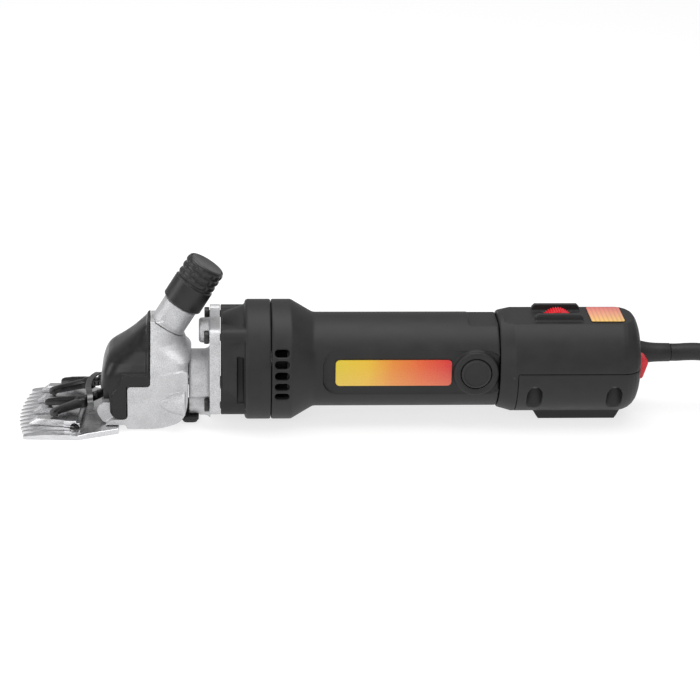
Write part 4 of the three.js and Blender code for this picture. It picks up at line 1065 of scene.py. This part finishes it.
def lobed(x0, x1):
    """The square flange with a round lobe at each screw."""
    half, lobe = FLANGE_HALF, FLANGE_LOBE
    solids = [prism(round_rect(-half, half, AXIS_Z - half, AXIS_Z + half, lobe), x0, x1, "X")]
    for _, a, b in CORNERS:
        solids.append(rod(lobe, (0, a * SCREW_REACH, AXIS_Z + b * SCREW_REACH), X_AXIS, x0, x1))
    return solids


def gearbox_cover():
    """A flange with a neck for the output shaft, a small boss above it and four socket screws."""
    front, rear = -68.8, -63.1
    neck_z, neck_r = 19.6, 18.5
    start = low("gearbox_cover").x
    neck = [(0, start), (neck_r - 0.6, start), (neck_r, start + 0.9), (neck_r, front - 3),
            (neck_r + 0.5, front - 1.2), (neck_r + 1.8, front + 0.3), (0, front + 0.3)]
    boss = [(0, -74.8), (5.9, -74.8), (6.8, -74), (7, -73), (7, -66), (0, -66)]
    adds = lobed(front, rear)
    adds += [lathe(neck, (0, 0, neck_z), X_AXIS, 96), lathe(boss, (0, 0, AXIS_Z + 17), X_AXIS, 64)]
    cuts = [
        rod(11, (0, 0, OUTPUT_Z), X_AXIS, -90, -71.5),
        rod(4.2, (0, 0, OUTPUT_Z), X_AXIS, -90, -50, 32),
        box(-85, -74.6, -15.3, 15.3, -2, 4.8),
        box(-90, -50, -30, 30, -5, low("gearbox_cover").z),
    ]
    for _, a, b in CORNERS:
        foot = (0, a * SCREW_REACH, AXIS_Z + b * SCREW_REACH)
        cuts.append(rod(2.3, foot, X_AXIS, -72, -51.5, 24))
        cuts.append(rod(4.3, foot, X_AXIS, -90, front - 0.01, 48))
    settle(moulded("gearbox_flange", adds, cuts, voxel=0.4, smooth=2), "gearbox_cover")
    for label, a, b in CORNERS:
        foot = Vector((0, a * SCREW_REACH, AXIS_Z + b * SCREW_REACH))
        top = front - GAP
        outline = [(0, -53), (2, -53), (2, top), (3.5, top), (3.7, top - 0.3), (3.7, top - 2.3),
                   (3.3, top - 2.7), (2.4, top - 2.7), (0, top - 2.7)]
        socket = lathe([(0, top - 4), (1.75, top - 4), (1.75, top - 1.1), (0, top - 0.7)], foot, X_AXIS, 6)
        piece = machined(f"socket_screw_{label}", [lathe(outline, foot, X_AXIS, 48)], [socket], bevel=0)
        settle(piece, f"flange_screw_{label}")


def gear_case():
    """A square front that grows into a round drum, with a pocket in its near side."""
    front, step, wall = -62.8, -49.6, -40.4
    rear, ring = high("gear_case").x, high("gear_case").y
    adds = lobed(front, step + 1)
    drum = [(0, step), (ring - 1.6, step), (ring - 0.5, step + 0.5), (ring, step + 1.6), (ring, rear - 0.5),
            (ring - 0.5, rear), (0, rear)]
    cone = [(0, front + 1), (26, front + 1), (30.9, step + 0.5), (0, step + 0.5)]
    adds += [on_motor_axis(drum, 128), on_motor_axis(cone)]
    cuts = [
        rod(12.2, (0, 0, OUTPUT_Z), X_AXIS, step + 2.2, wall),
        rod(12, (0, 0, AXIS_Z), X_AXIS, step + 2.2, wall),
        rod(9.8, (0, 0, OUTPUT_Z), X_AXIS, front - 1, -55.5),
        rod(3.4, (0, 0, OUTPUT_Z), X_AXIS, -60, -30, 32),
        rod(8.3, (0, 0, AXIS_Z), X_AXIS, wall - 1, -30),
        rod(4.8, (0, 0, OUTPUT_Z), X_AXIS, wall - 1, -30, 32),
        box(-54, -50.2, -40, -23.4, AXIS_Z - 17, AXIS_Z + 11),
        box(-80, -20, -30, 30, -5, 0),
    ]
    for _, a, b in CORNERS:
        cuts.append(rod(2.3, (0, a * SCREW_REACH, AXIS_Z + b * SCREW_REACH), X_AXIS, -72, -51.5, 24))
    settle(moulded("gear_housing", adds, cuts, smooth=2), "gear_case")


gearbox_cover()
gear_case()


# ------------------------------------------------------------------ motor housing
BRUSH_X = middle_of("brush_cap_near").x
PAD_Y = -high("side_label").y - GAP


def motor_housing():
    """The round grip with its wider vented front, flat side pads, brush caps and side label."""
    lo, hi = low("motor_housing"), high("motor_housing")
    front, rear, ring = lo.x, hi.x, hi.y
    grip = 26.1
    outline = [(0, front), (ring - 0.5, front), (ring, front + 0.5), (ring, -24.2)]
    outline += [(ring - 0.5, -23.3), (grip + 0.7, -13.1), (grip + 0.15, -12), (grip, -10.8)]
    outline += [(grip, rear - 0.6), (grip - 0.5, rear), (0, rear)]
    pad = round_rect(-7, 92.4, AXIS_Z - 12.6, AXIS_Z + 12.6, 9)
    pads = [prism(pad, -40, -PAD_Y, "Y"), prism(pad, PAD_Y, 40, "Y")]
    body = shaped([on_motor_axis(outline, 160)], pads)
    brush = (BRUSH_X, 0, AXIS_Z)
    boss = [(0, 18), (12.4, 18), (12.4, 25.1), (11.9, 25.6), (0, 25.6)]
    bosses = [lathe(boss, brush, Y_AXIS * side) for side in (-1, 1)]
    room = [(0, front - 1), (30.3, front - 1), (30.3, -24), (20.8, -16), (20.8, 83), (0, 83)]
    cuts = [
        on_motor_axis(room),
        rod(8.3, (0, 0, AXIS_Z), X_AXIS, 80, 95),
        rod(4, (0, 0, AXIS_Z + 15), X_AXIS, 80, 95, 32),
        box(74, rear + 1, -14, 14, AXIS_Z + 23.4, AXIS_Z + 40),
        box(-60, 20, -30, 30, -5, 0),
    ]
    for middle in (-87, 87):
        for offset in (-22, -11, 0, 11, 22):
            slot = prism(round_rect(-33.4, -25.4, -2.1, 2.1, 1.9), 26, 38, "Z")
            turn = Matrix.Rotation(math.radians(middle + offset), 4, "X")
            cuts.append(moved(slot, Matrix.Translation(Vector((0, 0, AXIS_Z))) @ turn))
    for side in (-1, 1):
        cuts.append(rod(6.6, brush, Y_AXIS * side, 12, 40, 32))
        cuts.append(rod(8.6, brush, Y_AXIS * side, 22.2, 40))
    settle(moulded("motor_grip", [body] + bosses, cuts, voxel=0.6, smooth=2), "motor_housing")
    cap = [(0, 22.5), (8.3, 22.5), (8.3, 25.3), (8.0, 25.9), (7.3, 26.2), (6.9, 26.1), (6.6, 25.8),
           (0, 25.75)]
    for label, side in (("near", -1), ("far", 1)):
        piece = machined(f"brush_plug_{label}", [lathe(cap, brush, Y_AXIS * side, 96)], bevel=0)
        settle(piece, f"brush_cap_{label}")
    lo, hi = low("side_label"), high("side_label")
    film = prism(round_rect(lo.x, hi.x, lo.z, hi.z, 2.4), lo.y, hi.y, "Y")
    settle(machined("label_film", [film], bevel=0.12), "side_label")


motor_housing()


# ------------------------------------------------------------------ rear housing
def rear_solids():
    """The rear housing's outer shape and the room inside it, both with the flat top face."""
    front, end = low("rear_housing").x, high("rear_housing").x
    radius, top = high("rear_housing").y, AXIS_Z + 25.3
    outline = [(0, front), (26.6, front), (27, front + 0.4), (radius - 0.4, front + 6.8), (radius, front + 8)]
    outline += [(radius, 158.5), (radius - 0.5, 161), (radius - 1.6, 163.6), (radius - 3.4, 165.9),
                (radius - 5.8, 167.6), (radius - 9, 168.8), (radius - 13, 169.4), (0, end)]
    inside = [(0, front - 1), (24.6, front - 1), (26.6, front + 6), (26.6, 158), (24.6, 163), (17, 166.4),
              (0, 166.9)]
    full = shaped([on_motor_axis(outline, 160)], [box(front + 3, 175, -20, 20, top, top + 20)])
    hollow = shaped([on_motor_axis(inside)], [box(front - 2, 170, -20, 20, top - 2.4, top + 20)])
    return full, hollow


def rear_housing():
    """The rear shell with the dial's rails, and the cover below it with skid and screw recesses."""
    full, hollow = rear_solids()
    split_x, split_z = 100.0, high("bottom_cover").z + GAP
    corners = [(x, side * 22.5) for x in (109.8, 154.0) for side in (-1, 1)]
    dial = pivot("dial_turn")
    rocker = pivot("rocker_tilt")

    def posts(radius, start, end, sides):
        return shaped([rod(radius, (x, y, 0), Z_AXIS, start, end, sides) for x, y in corners], keep=[full])

    openings = [
        box(160, 180, rocker.y - 5.4, rocker.y + 5.4, rocker.z - 7.4, rocker.z + 7.4),
        rod(4, (0, CORD_Y, AXIS_Z), X_AXIS, 160, 180, 32),
        rod(8, (0, CORD_Y, AXIS_Z), X_AXIS, 169.2, 180, 48),
    ]
    rail = [(110.4, AXIS_Z + 23), (110.4, AXIS_Z + 27.4), (112, AXIS_Z + 29), (135.6, AXIS_Z + 29),
            (137.2, AXIS_Z + 27.4), (137.2, AXIS_Z + 23)]
    adds = [shaped([full], [hollow, box(split_x, 180, -40, 40, -10, split_z)]),
            posts(5.2, split_z + 0.1, AXIS_Z + 9, 32)]
    adds += [prism(rail, side * 8.6 - 1.6, side * 8.6 + 1.6, "Y") for side in (-1, 1)]
    cuts = openings + [box(dial.x - 9, dial.x + 9, -5.6, 5.6, AXIS_Z + 15, AXIS_Z + 40)]
    cuts += [rod(1.9, (x, y, 0), Z_AXIS, split_z - 3, AXIS_Z + 6, 24) for x, y in corners]
    settle(moulded("rear_shell", adds, cuts, smooth=2), "rear_housing")

    skid = prism([(109.4, 8), (114.4, 0), (157.7, 0), (162, 8)], -8, 8, "Y")
    adds = [shaped([full], [hollow], [box(split_x + GAP, 180, -40, 40, -10, split_z - GAP)]),
            posts(6.8, 5, split_z - GAP, 48), shaped([skid], [hollow])]
    cuts = list(openings)
    teardrop = [(0, -10), (4.3, -10), (4.3, 22.5), (3.6, 25), (2, 27.4), (0, 28.4)]
    for x, y in corners:
        cuts.append(rod(4.3, (x, y + math.copysign(0.8, y), 0), Z_AXIS, -10, 27.4, 48))
        cuts.append(rod(1.9, (x, y, 0), Z_AXIS, 10, 40, 24))
        cuts.append(lathe(teardrop, (x, y + math.copysign(2.9, y), 0), Z_AXIS, 48))
    settle(moulded("lower_shell", adds, cuts, smooth=2), "bottom_cover")

    lo, hi = low("rating_label"), high("rating_label")
    film = prism(round_rect(lo.x, hi.x, lo.y, hi.y, 1.5), lo.z, hi.z, "Z")
    settle(machined("rating_film", [film], bevel=0.12), "rating_label")


def speed_dial():
    """A wheel with a toothed rim and smooth edges."""
    dial = pivot("dial_turn")
    radius, teeth = 9.4, 40
    outline = []
    for i in range(teeth * 6):
        angle = i * TAU / (teeth * 6)
        wave = 0.5 + 0.5 * math.cos(teeth * angle)
        reach = radius - 0.75 * wave ** 1.5
        outline.append((dial.x + reach * math.cos(angle), dial.z + reach * math.sin(angle)))
    half = high("speed_dial").y
    wheel = prism(outline, -half + 0.4, half - 0.4, "Y")
    rim = lathe([(0, -half), (radius - 1.5, -half), (radius - 0.9, -half + 0.6), (radius - 0.9, half - 0.6),
                 (radius - 1.5, half), (0, half)], dial, Y_AXIS, 96)
    settle(machined("dial_wheel", [wheel, rim], bevel=0), "speed_dial")


def switch_rocker():
    """A wedge that tips about its middle."""
    centre = pivot("rocker_tilt")
    lo, hi = low("switch_rocker"), high("switch_rocker")
    outline = [(lo.x, centre.z - 6), (lo.x, centre.z + 6), (171.9, centre.z + 6.4), (hi.x, centre.z + 3.6),
               (171.2, centre.z - 6.2)]
    key = prism(rounded(outline, 1.4), lo.y, hi.y, "Y")
    settle(machined("rocker_key", [key], bevel=0.5, segments=3, angle=50), "switch_rocker")


rear_housing()
speed_dial()
switch_rocker()

# CAD nodes that stay visible take the finish of their slot.
for node, part in frame["nodes"].items():
    if not part.hide_render:
        part.data.materials.clear()
        part.data.materials.append(LOOKS[SLOT_OF[node]])

bpy.context.view_layer.update()
